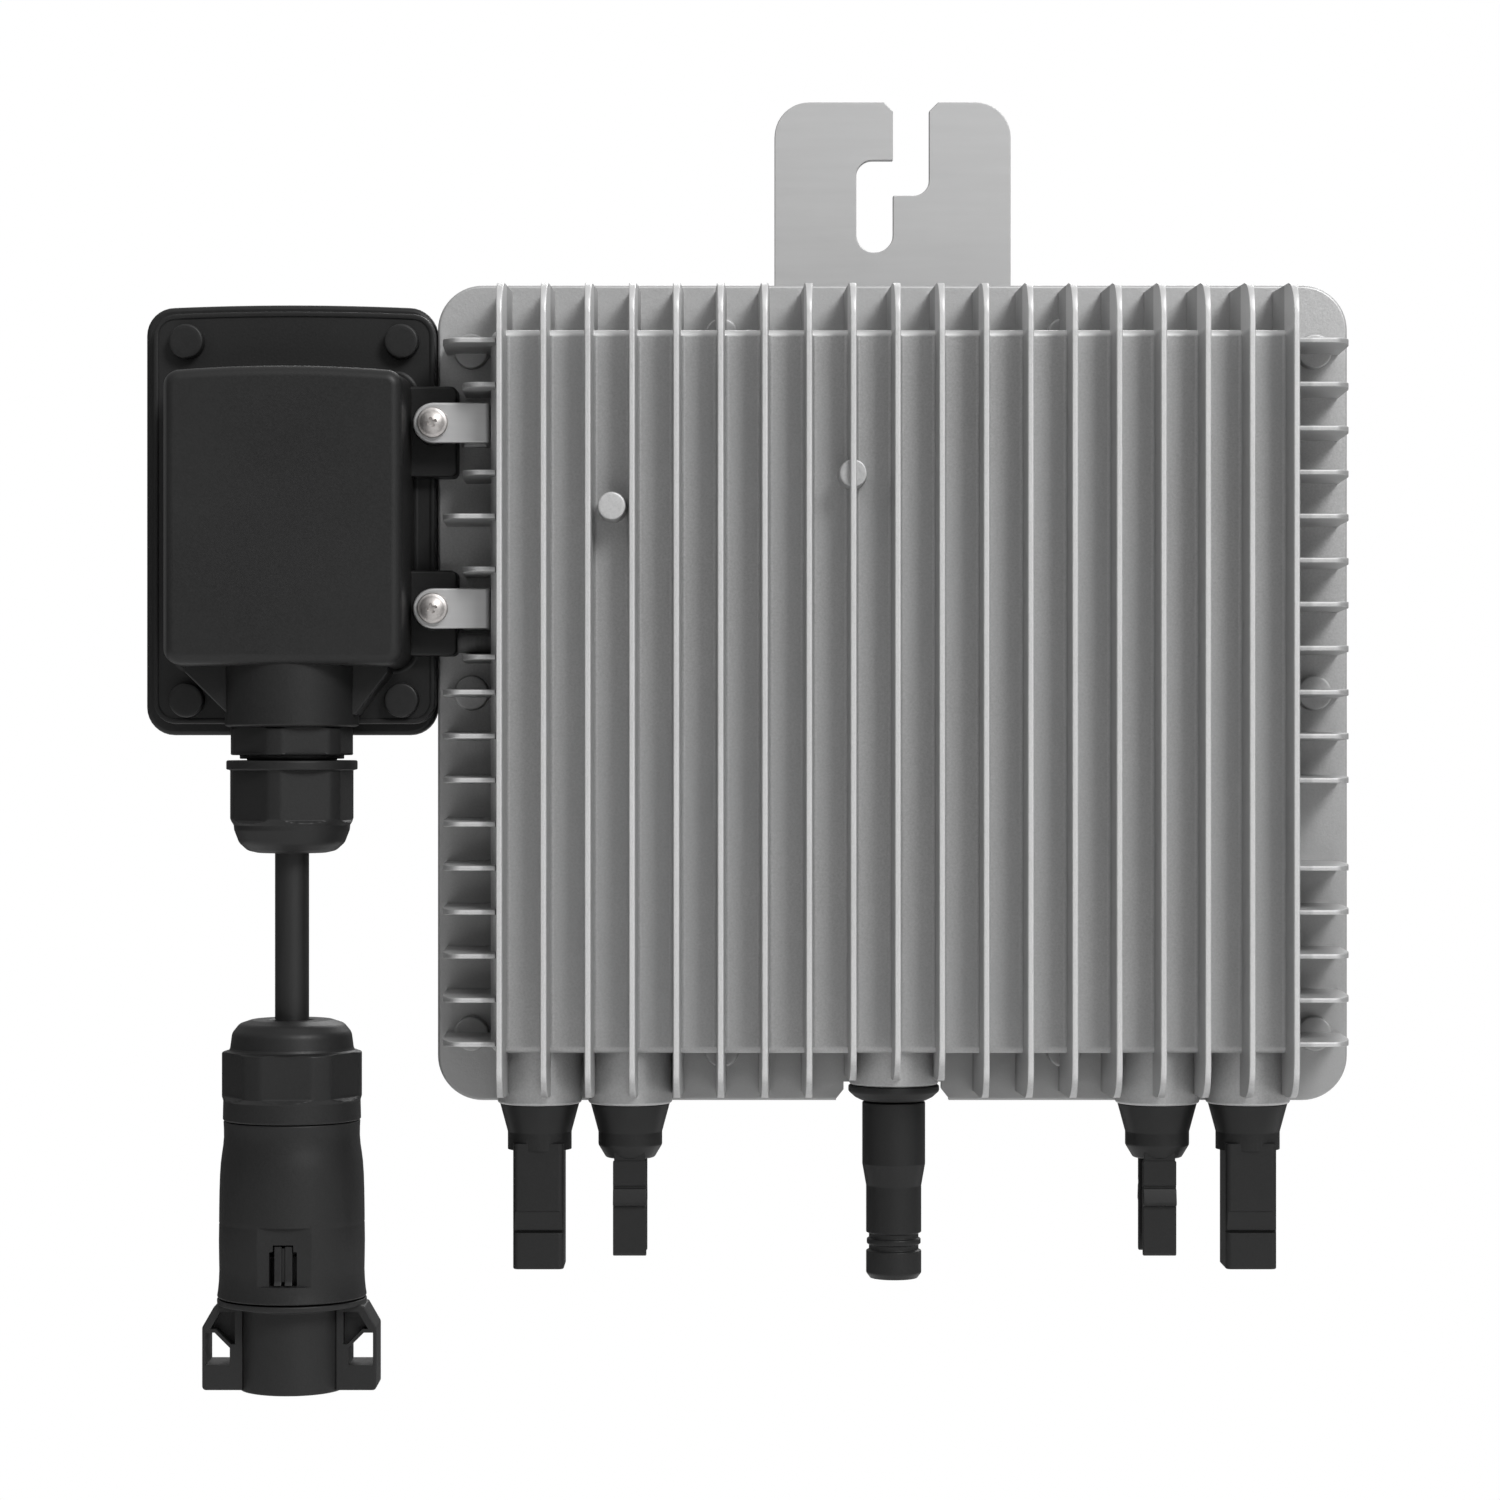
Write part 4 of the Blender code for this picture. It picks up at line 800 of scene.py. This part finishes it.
for i, (x, z) in enumerate(CASE_SCREWS):
    pan_head("case_screw_head_%02d" % (i + 1), "case_screw_%02d" % (i + 1), x, z, -2.5, -10.7, 3.4, 2.1, 1.6, True)
RB_SCREWS = ((-162.9, -18.4), (-113.4, -18.4), (-162.9, -101.0), (-113.4, -101.0))
for i, (x, z) in enumerate(RB_SCREWS):
    pan_head("cover_screw_head_%d" % (i + 1), "relay_cover_screw_%d" % (i + 1), x, z, -4.9, -14.2, 2.8, 1.7, 1.4, True)
STRAP_Z = (-37.9, -80.2)
STRAP_X = -105.4
for nm, zs in zip(("upper", "lower"), STRAP_Z):
    pan_head("strap_screw_head_" + nm, "strap_screw_" + nm, STRAP_X, zs, -26.1, -13.8, 3.53, 2.4, 1.6, False)
for i, (x, z) in enumerate(((-19.0, -9.5), (19.0, -9.5))):
    b = Build()
    b.turn([(0, -8.1), (1.1, -8.1), (1.6, -7.6), (1.6, -2.35), (3.75, -0.2), (3.7, -0.15), (0, -0.15)], x, z, 48, "Y")
    o = b.obj("bracket_screw_head_%d" % (i + 1))
    c = Build()
    c.turn([(0, -1.7), (1.35, -1.7), (1.45, 0.2), (0, 0.2)], x, z, 6, "Y")
    carve(o, c.obj("cut"))
    place(o, M_SCREW, "inverter", ("bracket_screw_%d" % (i + 1),), 35)

# =========================================================================
# relay box
# =========================================================================
RB = (-173.3, -105.9, -109.1, -9.4)
COL_Z = -107.2                        # foot of the lead collar
RR = (-166.0, -110.7, -93.9, -26.0)
RB_FRONT = -38.0


def crowned(x0, x1, z0, z1, r, crown, n=8, steps=14):
    o = fillet(rect(x0, x1, z0, z1), r, n)
    res = []
    m = len(o)
    for i in range(m):
        p, q = o[i], o[(i + 1) % m]
        res.append(p)
        L = math.hypot(q[0] - p[0], q[1] - p[1])
        if L > 8.0:
            for k in range(1, steps):
                t = k / steps
                res.append((p[0] + (q[0] - p[0]) * t, p[1] + (q[1] - p[1]) * t))
    cx, hw = (x0 + x1) / 2, (x1 - x0) / 2 - r
    zm = (z0 + z1) / 2
    return [(u, v + (crown * (1 - min(1.0, abs(u - cx) / hw) ** 2) * max(0.0, (v - zm) / (z1 - zm)))) for u, v in res]


b = Build()
FLG = (RB[0] + 2.4, -105.75, RB[2] + 2.6, RB[3] - 2.4)
b.slab(crowned(*FLG, 5.2, 0.6), "Y", -13.6, -8.3, 0.9, 0.2, 4)
# low rim round the edge of the flange
o1 = crowned(*FLG, 5.2, 0.6)
rim = []
for ins, y in ((0.0, -12.0), (0.15, -13.9), (0.35, -14.05), (1.0, -14.05), (1.25, -13.85), (1.35, -12.0)):
    rim.append([(u, y, v) for u, v in inset(o1, ins)])
b.loft(rim, ring=True)
# raised centre
b.slab(crowned(*RR, 4.4, 0.9), "Y", RB_FRONT, -12.0, 2.5, 0.0, 10, 0.030)
# foot fillet of the raised centre
o2 = crowned(*RR, 4.2, 0.8)
loops = [[(u, -12.0, v) for u, v in inset(o2, -1.0)]]
for k in range(6):
    t = math.pi / 2 * k / 5
    loops.append([(u, -13.6 - 1.6 * (1 - math.cos(t)), v) for u, v in inset(o2, -(1.2 * (1 - math.sin(t)) - 0.2))])
b.loft(loops)
# collar and gussets
b.turn([(0, COL_Z)] + fillet([(14.2, COL_Z), (15.3, COL_Z + 0.3), (15.6, RR[2] + 4.0)], [0.2, 0.5, 0.4], 4, False) + [(0, RR[2] + 4.0)],
       AC_X, AC_Y, 96)
for g in ([(-161.9, -92.0), (-161.9, -94.7), (-151.8, -104.5), (-147.9, -104.5), (-147.9, -92.0)],
          [(-115.5, -92.0), (-115.5, -94.9), (-122.9, -104.5), (-126.3, -104.5), (-126.3, -92.0)]):
    b.slab(fillet(g, 0.5, 3), "Y", -26.5, -12.0, 0.5, 0.0, 3)
# corner screw bosses
for x, z in RB_SCREWS:
    b.turn([(0, -17.0)] + fillet([(2.8, -17.0), (3.95, -17.0), (4.05, -12.0)], 0.5, 4, False) + [(0, -12.0)], x, z, 56, "Y")
# clamp ears
for z1, z0 in ((-28.9, -49.8), (-71.2, -90.9)):
    b.slab(rrect(-113.5, -100.4, z0, z1, 1.5, 5), "Y", -18.2, -9.7, 0.7, 0.3, 4)
for zs in STRAP_Z:
    b.turn([(0, -24.0)] + fillet([(4.0, -24.0), (4.85, -24.0), (4.9, -17.0)], 0.4, 3, False) + [(0, -17.0)],
           STRAP_X, zs, 56, "Y")
rbh = b.obj("relay_box_shell")
place(rbh, M_BLACK, "inverter", ("relay_box_housing",), 40)

b = Build()
b.slab(crowned(RB[0], -105.7, RB[2], RB[3] - 0.3, 6.5, 0.6), "Y", -8.0, -3.0, 1.1, 0.8, 5)
cov = b.obj("relay_box_rear")
c = Build()
for x, z in RB_SCREWS:
    c.turn([(0, -9), (1.75, -9), (1.75, -5.2), (3.3, -5.2), (3.3, -2), (0, -2)], x, z, 40, "Y")
carve(cov, c.obj("cut"))
place(cov, M_BLACK, "inverter", ("relay_box_cover",), 35)
# shallow panel line on the rear cover
b = Build()
o3 = fillet(rect(-161.0, -117.0, -88.0, -30.0), 4.0, 8)
b.loft([[(u, y, v) for u, v in inset(o3, i)] for i, y in ((0, -3.4), (0.1, -2.85), (0.3, -2.75), (1.0, -2.75), (1.2, -2.85), (1.3, -3.4))],
       ring=True)
place(b.obj("relay_rear_rim"), M_BLACK, "inverter", (), 40)

# clamp straps
for nm, zs in zip(("upper", "lower"), STRAP_Z):
    t, r = 1.5, 1.0
    yf = -25.8
    xw = -92.5
    yb = FL_Y0 - 0.3
    b = Build()
    path = [(-112.0, yf), (xw, yf), (xw, yb), (-99.7, yb), (-99.7, yb - t), (xw - t, yb - t), (xw - t, yf + t),
            (-112.0, yf + t)]
    b.slab(fillet(path, [0, r, 0.6, 0.6, 0.6, 0.3, 0.6, 0], 8), "Z", zs - 4.6, zs + 4.6, 0.45, 0.45, 4)
    o = b.obj("strap_sheet_" + nm)
    # round free end, bevelled like the long edges
    xe = STRAP_X + 0.05
    stack = []
    for y, re in ((-27.5, 4.15), (yf, 4.15), (yf + 0.06, 4.33), (yf + 0.2, 4.49), (yf + 0.45, 4.58), (-22.0, 4.58)):
        lp = [(xe - 9.0, zs - 7.0), (xe, zs - 7.0), (xe, zs - re)]
        for k in range(1, 24):
            a = math.radians(-90 - 180 * k / 24)
            lp.append((xe + re * math.cos(a), zs + re * math.sin(a)))
        lp += [(xe, zs + re), (xe, zs + 7.0), (xe - 9.0, zs + 7.0)]
        stack.append([(u, y, v) for u, v in lp])
    c = Build()
    c.loft(stack)
    carve(o, c.obj("cut"))
    place(o, M_STRAP, "inverter", ("strap_" + nm,), 30)

# =========================================================================
# gland and AC plug
# =========================================================================
G0 = -107.25                          # seat of the gland, nominal
FIT = (AC_X, AC_Y, AC_FIT)


def prof(pts, r, n=4):
    return fillet(pts, r, n, closed=True)


def dense(p, step):
    """Adds points along the long straight runs of a closed profile."""
    o = []
    for i in range(len(p)):
        a, c_ = p[i], p[(i + 1) % len(p)]
        o.append(a)
        L = math.hypot(c_[0] - a[0], c_[1] - a[1])
        k = int(L / step)
        for j in range(1, k):
            o.append((a[0] + (c_[0] - a[0]) * j / k, a[1] + (c_[1] - a[1]) * j / k))
    return o


b = Build()
p = prof([(4.5, -98.6), (9.9, -98.6), (9.9, G0), (14.2, G0), (14.2, -113.7), (12.05, -113.7), (12.05, -114.55),
          (10.4, -114.55), (10.4, -121.6), (6.9, -121.6), (6.9, -118.6), (4.5, -116.6)],
         [0.2, 0.2, 0, 0.5, 0.5, 0.1, 0.2, 0.1, 0.3, 0.3, 0.2, 0.2])
b.turn(dense(p, 0.8), AC_X, AC_Y, 144, closed=True, hexa=(13.1, 20.0, -113.2, G0 + 0.5))
place(b.obj("gland_body_moulding"), M_BLACK, "inverter", ("gland_body",), 30)

b = Build()
p = prof([(10.75, -114.9), (15.15, -114.9), (15.15, -117.0), (14.35, -117.15), (14.35, -128.4), (13.45, -129.9),
          (13.35, -131.0), (12.2, -134.0), (10.2, -135.8), (8.0, -136.3), (4.6, -136.3), (4.6, -133.4), (8.6, -132.6),
          (10.75, -129.0)],
         [0.2, 0.4, 0.3, 0.2, 0.5, 0.3, 1.0, 2.6, 2.4, 1.2, 0.6, 0.2, 0.4, 0.6], 5)
b.turn(dense(p, 0.25), AC_X, AC_Y, 180, closed=True, hexa=(13.15, 20.0, -129.6, -117.2, 0.9))
place(b.obj("gland_nut_moulding"), M_BLACK, "gland_nut", ("gland_nut",), 28)

b = Build()
p = prof([(4.35, -119.4), (6.1, -119.4), (6.5, -120.6), (6.5, -129.6), (8.2, -131.4), (8.2, -132.2), (4.35, -132.2)], 0.3, 3)
b.turn(p, AC_X, AC_Y, 64, closed=True)
place(b.obj("gland_seal_bush"), M_RUBBER, "gland_seal", ("gland_seal",), 40)

b = Build()
p = prof([(4.35, -178.2), (8.6, -178.2), (8.6, -179.4), (6.7, -181.2), (6.7, -191.0), (6.2, -192.0), (4.35, -192.0)], 0.3, 3)
b.turn(p, AC_X, AC_Y, 64, closed=True)
place(b.obj("plug_seal_bush"), M_RUBBER, "plug_seal", ("plug_seal",), 40)

b = Build()
p = prof([(4.6, -175.0), (9.4, -175.0), (12.1, -175.9), (13.8, -178.0), (14.25, -181.4), (14.5, -182.0), (16.15, -182.5),
          (16.15, -192.6), (15.85, -193.6), (15.95, -198.1), (12.6, -198.1), (12.6, -182.6), (9.0, -177.9), (4.6, -177.3)],
         [0.7, 1.4, 2.2, 2.5, 0.4, 0.3, 0.4, 0.5, 0.3, 0.35, 0.2, 0.5, 0.5, 0.2], 5)
b.turn(dense(p, 0.25), AC_X, AC_Y, 180, closed=True, hexa=(15.0, 1.3, -193.3, -182.3, 0.9))
place(b.obj("plug_nut_moulding"), M_BLACK, "plug_nut", ("plug_nut",), 28)

LX = AC_X - 0.3
b = Build()
wall = []
for z, r in ((-198.3, 15.8), (-200.0, 15.7), (-202.0, 15.68), (-204.0, 15.85), (-206.0, 16.15), (-208.0, 16.4),
             (-211.0, 16.6), (-215.0, 16.72), (-219.0, 16.78), (-221.6, 16.8), (-221.9, 16.72), (-222.2, 16.8),
             (-226.0, 16.85), (-230.0, 16.8), (-233.0, 16.75), (-235.5, 16.85), (-237.5, 17.05), (-239.0, 17.3)):
    wall.append((r, z))
p = [(7.1, -188.4), (12.2, -188.4), (12.2, -198.3)] + wall + [(13.0, -239.0), (12.6, -203.0), (7.1, -203.0)]
rr = [0.2, 0.2, 0.0, 0.3] + [0.0] * (len(wall) - 2) + [0.35, 0.2, 0.3, 0.2]
b.turn(dense(prof(p, rr, 4), 1.0), AC_X, AC_Y, 160, closed=True)
barrel = b.obj("plug_barrel_sleeve")
c = Build()
c.slab(rect(LX - 7.2, LX + 7.2, -235.0, -221.5), "Y", AC_Y - 20.0, AC_Y - 15.7, 0.0, 0.0, 1)
carve(barrel, c.obj("cut"))
c = Build()
c.slab(fillet([(LX - 3.2, -234.8), (LX + 3.2, -234.8), (LX + 3.2, -227.0), (LX + 2.35, -226.9), (LX + 2.35, -225.4),
               (LX - 2.35, -225.4), (LX - 2.35, -226.9), (LX - 3.2, -227.0)], 0.15, 2), "Y", AC_Y - 20.0, AC_Y - 11.0, 0.0, 0.0, 1)
carve(barrel, c.obj("cut"))
place(barrel, M_BLACK, "inverter", ("plug_barrel",), 30)

b = Build()
y0 = AC_Y - 15.2
side = [(y0, -225.8), (y0 - 0.1, -233.4), (y0 - 0.9, -234.6), (y0 + 0.9, -234.6), (y0 + 1.5, -225.8)]
b.slab(side, "X", LX - 2.1, LX - 0.35, 0.2, 0.2, 3)
b.slab(side, "X", LX + 0.35, LX + 2.1, 0.2, 0.2, 3)
b.slab([(y0 + 0.5, -226.2), (y0 + 0.45, -233.9), (y0 + 1.2, -233.9), (y0 + 1.4, -226.2)], "X", LX - 0.8, LX + 0.8, 0.0, 0.0, 1)
place(b.obj("plug_latch_tongue"), M_BLACK, "plug_latch", ("plug_latch",), 35)

b = Build()
p = prof([(11.25, -228.4), (12.05, -228.4), (12.05, -239.35), (17.3, -239.35), (17.25, -240.6), (12.05, -241.4),
          (12.05, -260.5), (9.6, -260.5), (9.6, -236.4), (11.25, -236.4)],
         [0.1, 0.1, 0.0, 0.3, 0.3, 0.4, 0.35, 0.35, 0.2, 0.1], 4)
b.turn(dense(p, 1.2), AC_X, AC_Y, 144, closed=True)
shroud = b.obj("plug_shroud_moulding")
for s in (-1, 1):
    c = Build()
    pts = fillet([(10.7, -240.3), (16.3, -240.3), (17.4, -240.9), (20.1, -245.6), (20.1, -260.1), (10.7, -260.1)],
                 [0, 0, 0, 1.0, 0.9, 0], 5)
    c.slab([(AC_X + s * u, v) for u, v in pts][::s], "Y", AC_Y - 5.9, AC_Y + 5.9, 0.35, 0.35, 3)
    carve(shroud, c.obj("add"), "UNION")
for s in (-1, 1):
    c = Build()
    pts = [(13.7, -250.3), (13.7, -254.3), (19.3, -254.3), (19.3, -246.8), (17.2, -246.8)]
    c.slab([(AC_X + s * u, v) for u, v in pts][::s], "Y", AC_Y - 8.0, AC_Y + 8.0, 0.0, 0.0, 1)
    carve(shroud, c.obj("cut"))
for s in (-1, 1):
    for q0, q1 in ((-8.0, -2.3), (2.3, 8.0)):
        c = Build()
        pts = [(12.5, -242.0), (15.9, -242.0), (18.2, -246.0), (16.9, -246.0), (13.4, -249.5), (12.5, -249.5)]
        c.slab([(AC_X + s * u, v) for u, v in pts][::s], "Y", AC_Y + q0, AC_Y + q1, 0.0, 0.0, 1)
        carve(shroud, c.obj("cut"))
place(shroud, M_BLACK, "inverter", ("plug_shroud",), 30)

b = Build()
p = [(0, -203.4), (12.2, -203.4), (12.2, -226.0), (10.9, -226.4), (10.9, -236.0), (0, -236.0)]
b.turn(p, AC_X, AC_Y, 96)
place(b.obj("plug_insert_core"), M_BLACK, "inverter", ("plug_insert",), 35)
b = Build()
for k in range(3):
    a = math.radians(90 + 120 * k)
    b.turn([(0, -235.0), (1.2, -235.0), (1.2, -248.4), (0.8, -249.0), (0, -249.0)], AC_X + 5.6 * math.cos(a),
           AC_Y + 5.6 * math.sin(a), 32)
place(b.obj("plug_contact_pins"), M_BRASS, "inverter", (), 35)

# =========================================================================
# DC connectors
# =========================================================================
SEAT = -194.25
for nm, x, out_s in (("left", BOSS_X[0], 1), ("right", BOSS_X[3], -1)):
    FIT = (x, CONN_Y, CONN_FIT)
    b = Build()
    p = fillet([(6.05, SEAT), (9.2, SEAT), (7.4, -200.9), (7.4, -204.9)], [0, 0.25, 1.0, 0.5], 4, False)
    b.turn([(0, -171.2), (6.05, -171.2)] + p + [(0, -205.0)], x, CONN_Y, 96)
    o = b.obj("dc_socket_body_" + nm)
    c = Build()
    # the outer lower corner of the barrel is chamfered on one side
    ol = fillet([(x - 5.85, CONN_Y - 7.0), (x + 5.85, CONN_Y - 7.0), (x + 5.85, CONN_Y + 7.0), (x - 5.85, CONN_Y + 7.0)],
                [1.3, 1.3, 2.4, 2.4], 6)
    c.slab(ol, "Z", -232.1, -203.2, 0.35, 0.0, 4)
    carve(o, c.obj("add"), "UNION")
    c = Build()
    c.slab(rrect(x - 4.4, x + 4.4, CONN_Y - 4.9, CONN_Y + 4.9, 1.6, 6), "Z", -234.0, -212.0, 0.0, 0.0, 1)
    carve(o, c.obj("cut"))
    # shallow latch step across the front and the back, deeper at its lower edge
    for s in (-1, 1):
        c = Build()
        c.loft([[(x + u, CONN_Y + s * q, v) for q, v in ((6.75, -218.9), (7.05, -218.6), (8.5, -218.6), (8.5, -223.7), (5.6, -223.7), (5.6, -223.15), (6.5, -223.0))]
                for u in (-7.5, 7.5)])
        carve(o, c.obj("cut"))
    place(o, M_CONN, "inverter", ("dc_socket_" + nm,), 30)
    b = Build()
    b.turn([(0, -206.0), (2.0, -206.0), (2.0, -226.0), (1.3, -226.6), (0, -226.6)], x, CONN_Y, 40)
    place(b.obj("dc_socket_contact_" + nm), M_BRASS, "inverter", (), 35)
    b = Build()
    b.turn(fillet([(2.1, -211.0), (4.35, -211.0), (4.35, -225.4), (2.1, -225.4)], 0.2, 3), x, CONN_Y, 48, closed=True)
    place(b.obj("dc_socket_sleeve_" + nm), M_CONN, "inverter", (), 35)

for nm, x in (("left", BOSS_X[1]), ("right", BOSS_X[2])):
    FIT = (x, CONN_Y, CONN_FIT)
    b = Build()
    p = fillet([(6.05, SEAT), (9.2, SEAT), (7.4, -200.9), (7.4, -203.9), (5.6, -206.9), (2.6, -206.9), (2.6, -227.0),
                (1.5, -227.0)], [0, 0.25, 1.0, 1.2, 0.8, 0.3, 0.3, 0.2], 4, False)
    b.turn([(0, -171.2), (6.05, -171.2)] + p + [(1.5, -212.0), (0, -212.0)], x, CONN_Y, 96)
    for sg in (-1, 1):
        b.slab(rect(x - 3.6, x + 3.6, -207.9, -205.0), "Y", CONN_Y + sg * 4.4, CONN_Y + sg * 5.6, 0.2, 0.2, 2)
    place(b.obj("dc_plug_body_" + nm), M_CONN, "inverter", ("dc_plug_" + nm,), 30)
    for side_n, s in (("front", -1.0), ("back", 1.0)):
        y = CONN_Y
        arm = [(y + s * 4.3, -207.3), (y + s * 4.3, -228.6), (y + s * 4.6, -229.1), (y + s * 5.5, -229.1),
               (y + s * 5.9, -228.6), (y + s * 5.9, -217.8), (y + s * 6.9, -217.4), (y + s * 6.9, -216.6),
               (y + s * 6.1, -213.7), (y + s * 5.5, -213.6), (y + s * 5.5, -213.0), (y + s * 5.9, -212.9),
               (y + s * 5.9, -207.3)]
        b = Build()
        b.slab(arm, "X", x - 3.85, x + 3.85, 0.25, 0.25, 3)
        body = "latch_arm_%s_%s" % (nm, side_n)
        place(b.obj("plug_arm_%s_%s" % (nm, side_n)), M_CONN, body, (body,), 35)

# =========================================================================
# antenna
# =========================================================================
FIT = (ANT_X, CONN_Y, CONN_FIT)
b = Build()
b.turn(prof([(4.75, -190.1), (10.5, -190.1), (10.55, -191.5), (9.0, -192.9), (7.6, -193.6), (4.75, -193.7)], [0.2, 0.4, 0.8, 1.2, 0.4, 0.1], 5),
       ANT_X, CONN_Y, 96, closed=True)
place(b.obj("antenna_seal_ring"), M_RUBBER, "inverter", ("antenna_seal",), 40)
b = Build()
p = [(4.1, -194.0), (7.3, -194.0), (7.3, -208.3), (6.4, -213.4), (6.4, -224.2), (5.75, -224.45), (5.75, -225.45),
     (6.25, -225.75), (6.25, -226.85), (5.75, -227.1), (5.75, -228.15), (6.4, -228.5), (6.4, -233.6), (5.5, -234.8)]
p = fillet(p, [0, 0.3, 1.2, 1.5, 0.25, 0.12, 0.12, 0.3, 0.3, 0.12, 0.12, 0.25, 0.8, 0.5], 4, False)
b.turn([(0, -171.2), (4.1, -171.2)] + p + [(0, -234.8)], ANT_X, CONN_Y, 96)
place(b.obj("antenna_stub_moulding"), M_CONN, "inverter", ("antenna_stub",), 30)

# lead between the case and the relay box
FIT = None
b = Build()
b.turn([(0, -115.6), (2.3, -115.6), (2.3, -88.6), (0, -88.6)], -14.5, -87.8, 32, "X")
place(b.obj("link_lead"), M_LINK, "inverter", ("link_cable",), 40)

# =========================================================================
# stage and light
# =========================================================================
m = Mat("floor", metallic=0.0, rough=0.75, base=grey(0.86))
m.colour(m.ramp(m.noise(6.0, 3.0), [(0.3, grey(0.84)), (0.7, grey(0.88))]))
m.bump(m.noise(300.0, 3.0), 0.05, 0.0005)
b = Build()
b.turn([(0, -430.0), (1070.0, -430.0), (1100.0, -415.0), (1100.0, -405.0), (1070.0, -400.0), (0, -400.0)], 0.0, -600.0, 128)
floor = b.obj("floor")
floor.data.transform(Matrix.Scale(MM, 4))
floor.data.materials.append(m.done())

world = bpy.data.worlds.new("world")
SC.world = world
world.use_nodes = True
wt = world.node_tree
for n in list(wt.nodes):
    wt.nodes.remove(n)
wo = wt.nodes.new("ShaderNodeOutputWorld")
bg1 = wt.nodes.new("ShaderNodeBackground")
bg2 = wt.nodes.new("ShaderNodeBackground")
mx = wt.nodes.new("ShaderNodeMixShader")
lp = wt.nodes.new("ShaderNodeLightPath")
tc = wt.nodes.new("ShaderNodeTexCoord")
sx = wt.nodes.new("ShaderNodeSeparateXYZ")
rmp = wt.nodes.new("ShaderNodeValToRGB")
mr = wt.nodes.new("ShaderNodeMapRange")
mr.inputs["From Min"].default_value = -1.0
wt.links.new(tc.outputs["Generated"], sx.inputs[0])
wt.links.new(sx.outputs["Z"], mr.inputs["Value"])
wt.links.new(mr.outputs["Result"], rmp.inputs["Fac"])
el = rmp.color_ramp.elements
el[0].position, el[0].color = 0.0, (0.10, 0.10, 0.10, 1)
el[1].position, el[1].color = 1.0, (1.0, 1.0, 1.0, 1)
for p_, v_ in ((0.35, 0.11), (0.5, 0.19), (0.62, 0.38), (0.8, 0.85)):
    e_ = el.new(p_)
    e_.color = (v_, v_, v_, 1)
side_r = wt.nodes.new("ShaderNodeMapRange")
side_r.inputs["From Min"].default_value = -1.0
side_r.inputs["To Min"].default_value = 0.42
side_r.inputs["To Max"].default_value = 1.0
wt.links.new(sx.outputs["X"], side_r.inputs["Value"])
wt.links.new(side_r.outputs["Result"], bg1.inputs["Strength"])
wt.links.new(rmp.outputs["Color"], bg1.inputs["Color"])
bg2.inputs["Color"].default_value = (1, 1, 1, 1)
bg2.inputs["Strength"].default_value = 1.0
wt.links.new(lp.outputs["Is Camera Ray"], mx.inputs["Fac"])
wt.links.new(bg1.outputs[0], mx.inputs[1])
wt.links.new(bg2.outputs[0], mx.inputs[2])
wt.links.new(mx.outputs[0], wo.inputs["Surface"])


def area(name, loc, target, size, power):
    d = bpy.data.lights.new(name, "AREA")
    d.shape = "RECTANGLE"
    d.size, d.size_y = size
    d.energy = power
    o = bpy.data.objects.new(name, d)
    LINK(o)
    o.location = loc
    o.rotation_mode = "QUATERNION"
    o.rotation_quaternion = (Vector(target) - Vector(loc)).to_track_quat("-Z", "Y")
    return o


mid = (0.0, -0.02, -0.1)
area("key", (1.45, -2.6, 1.95), mid, (1.2, 1.2), 82.0)
area("fill", (-1.2, -1.8, 1.6), mid, (1.2, 1.2), 1.5)
area("rim", (0.4, 1.8, 1.2), mid, (1.4, 0.8), 16.0)
SC.view_settings.view_transform = "Standard"
SC.view_settings.look = "None"
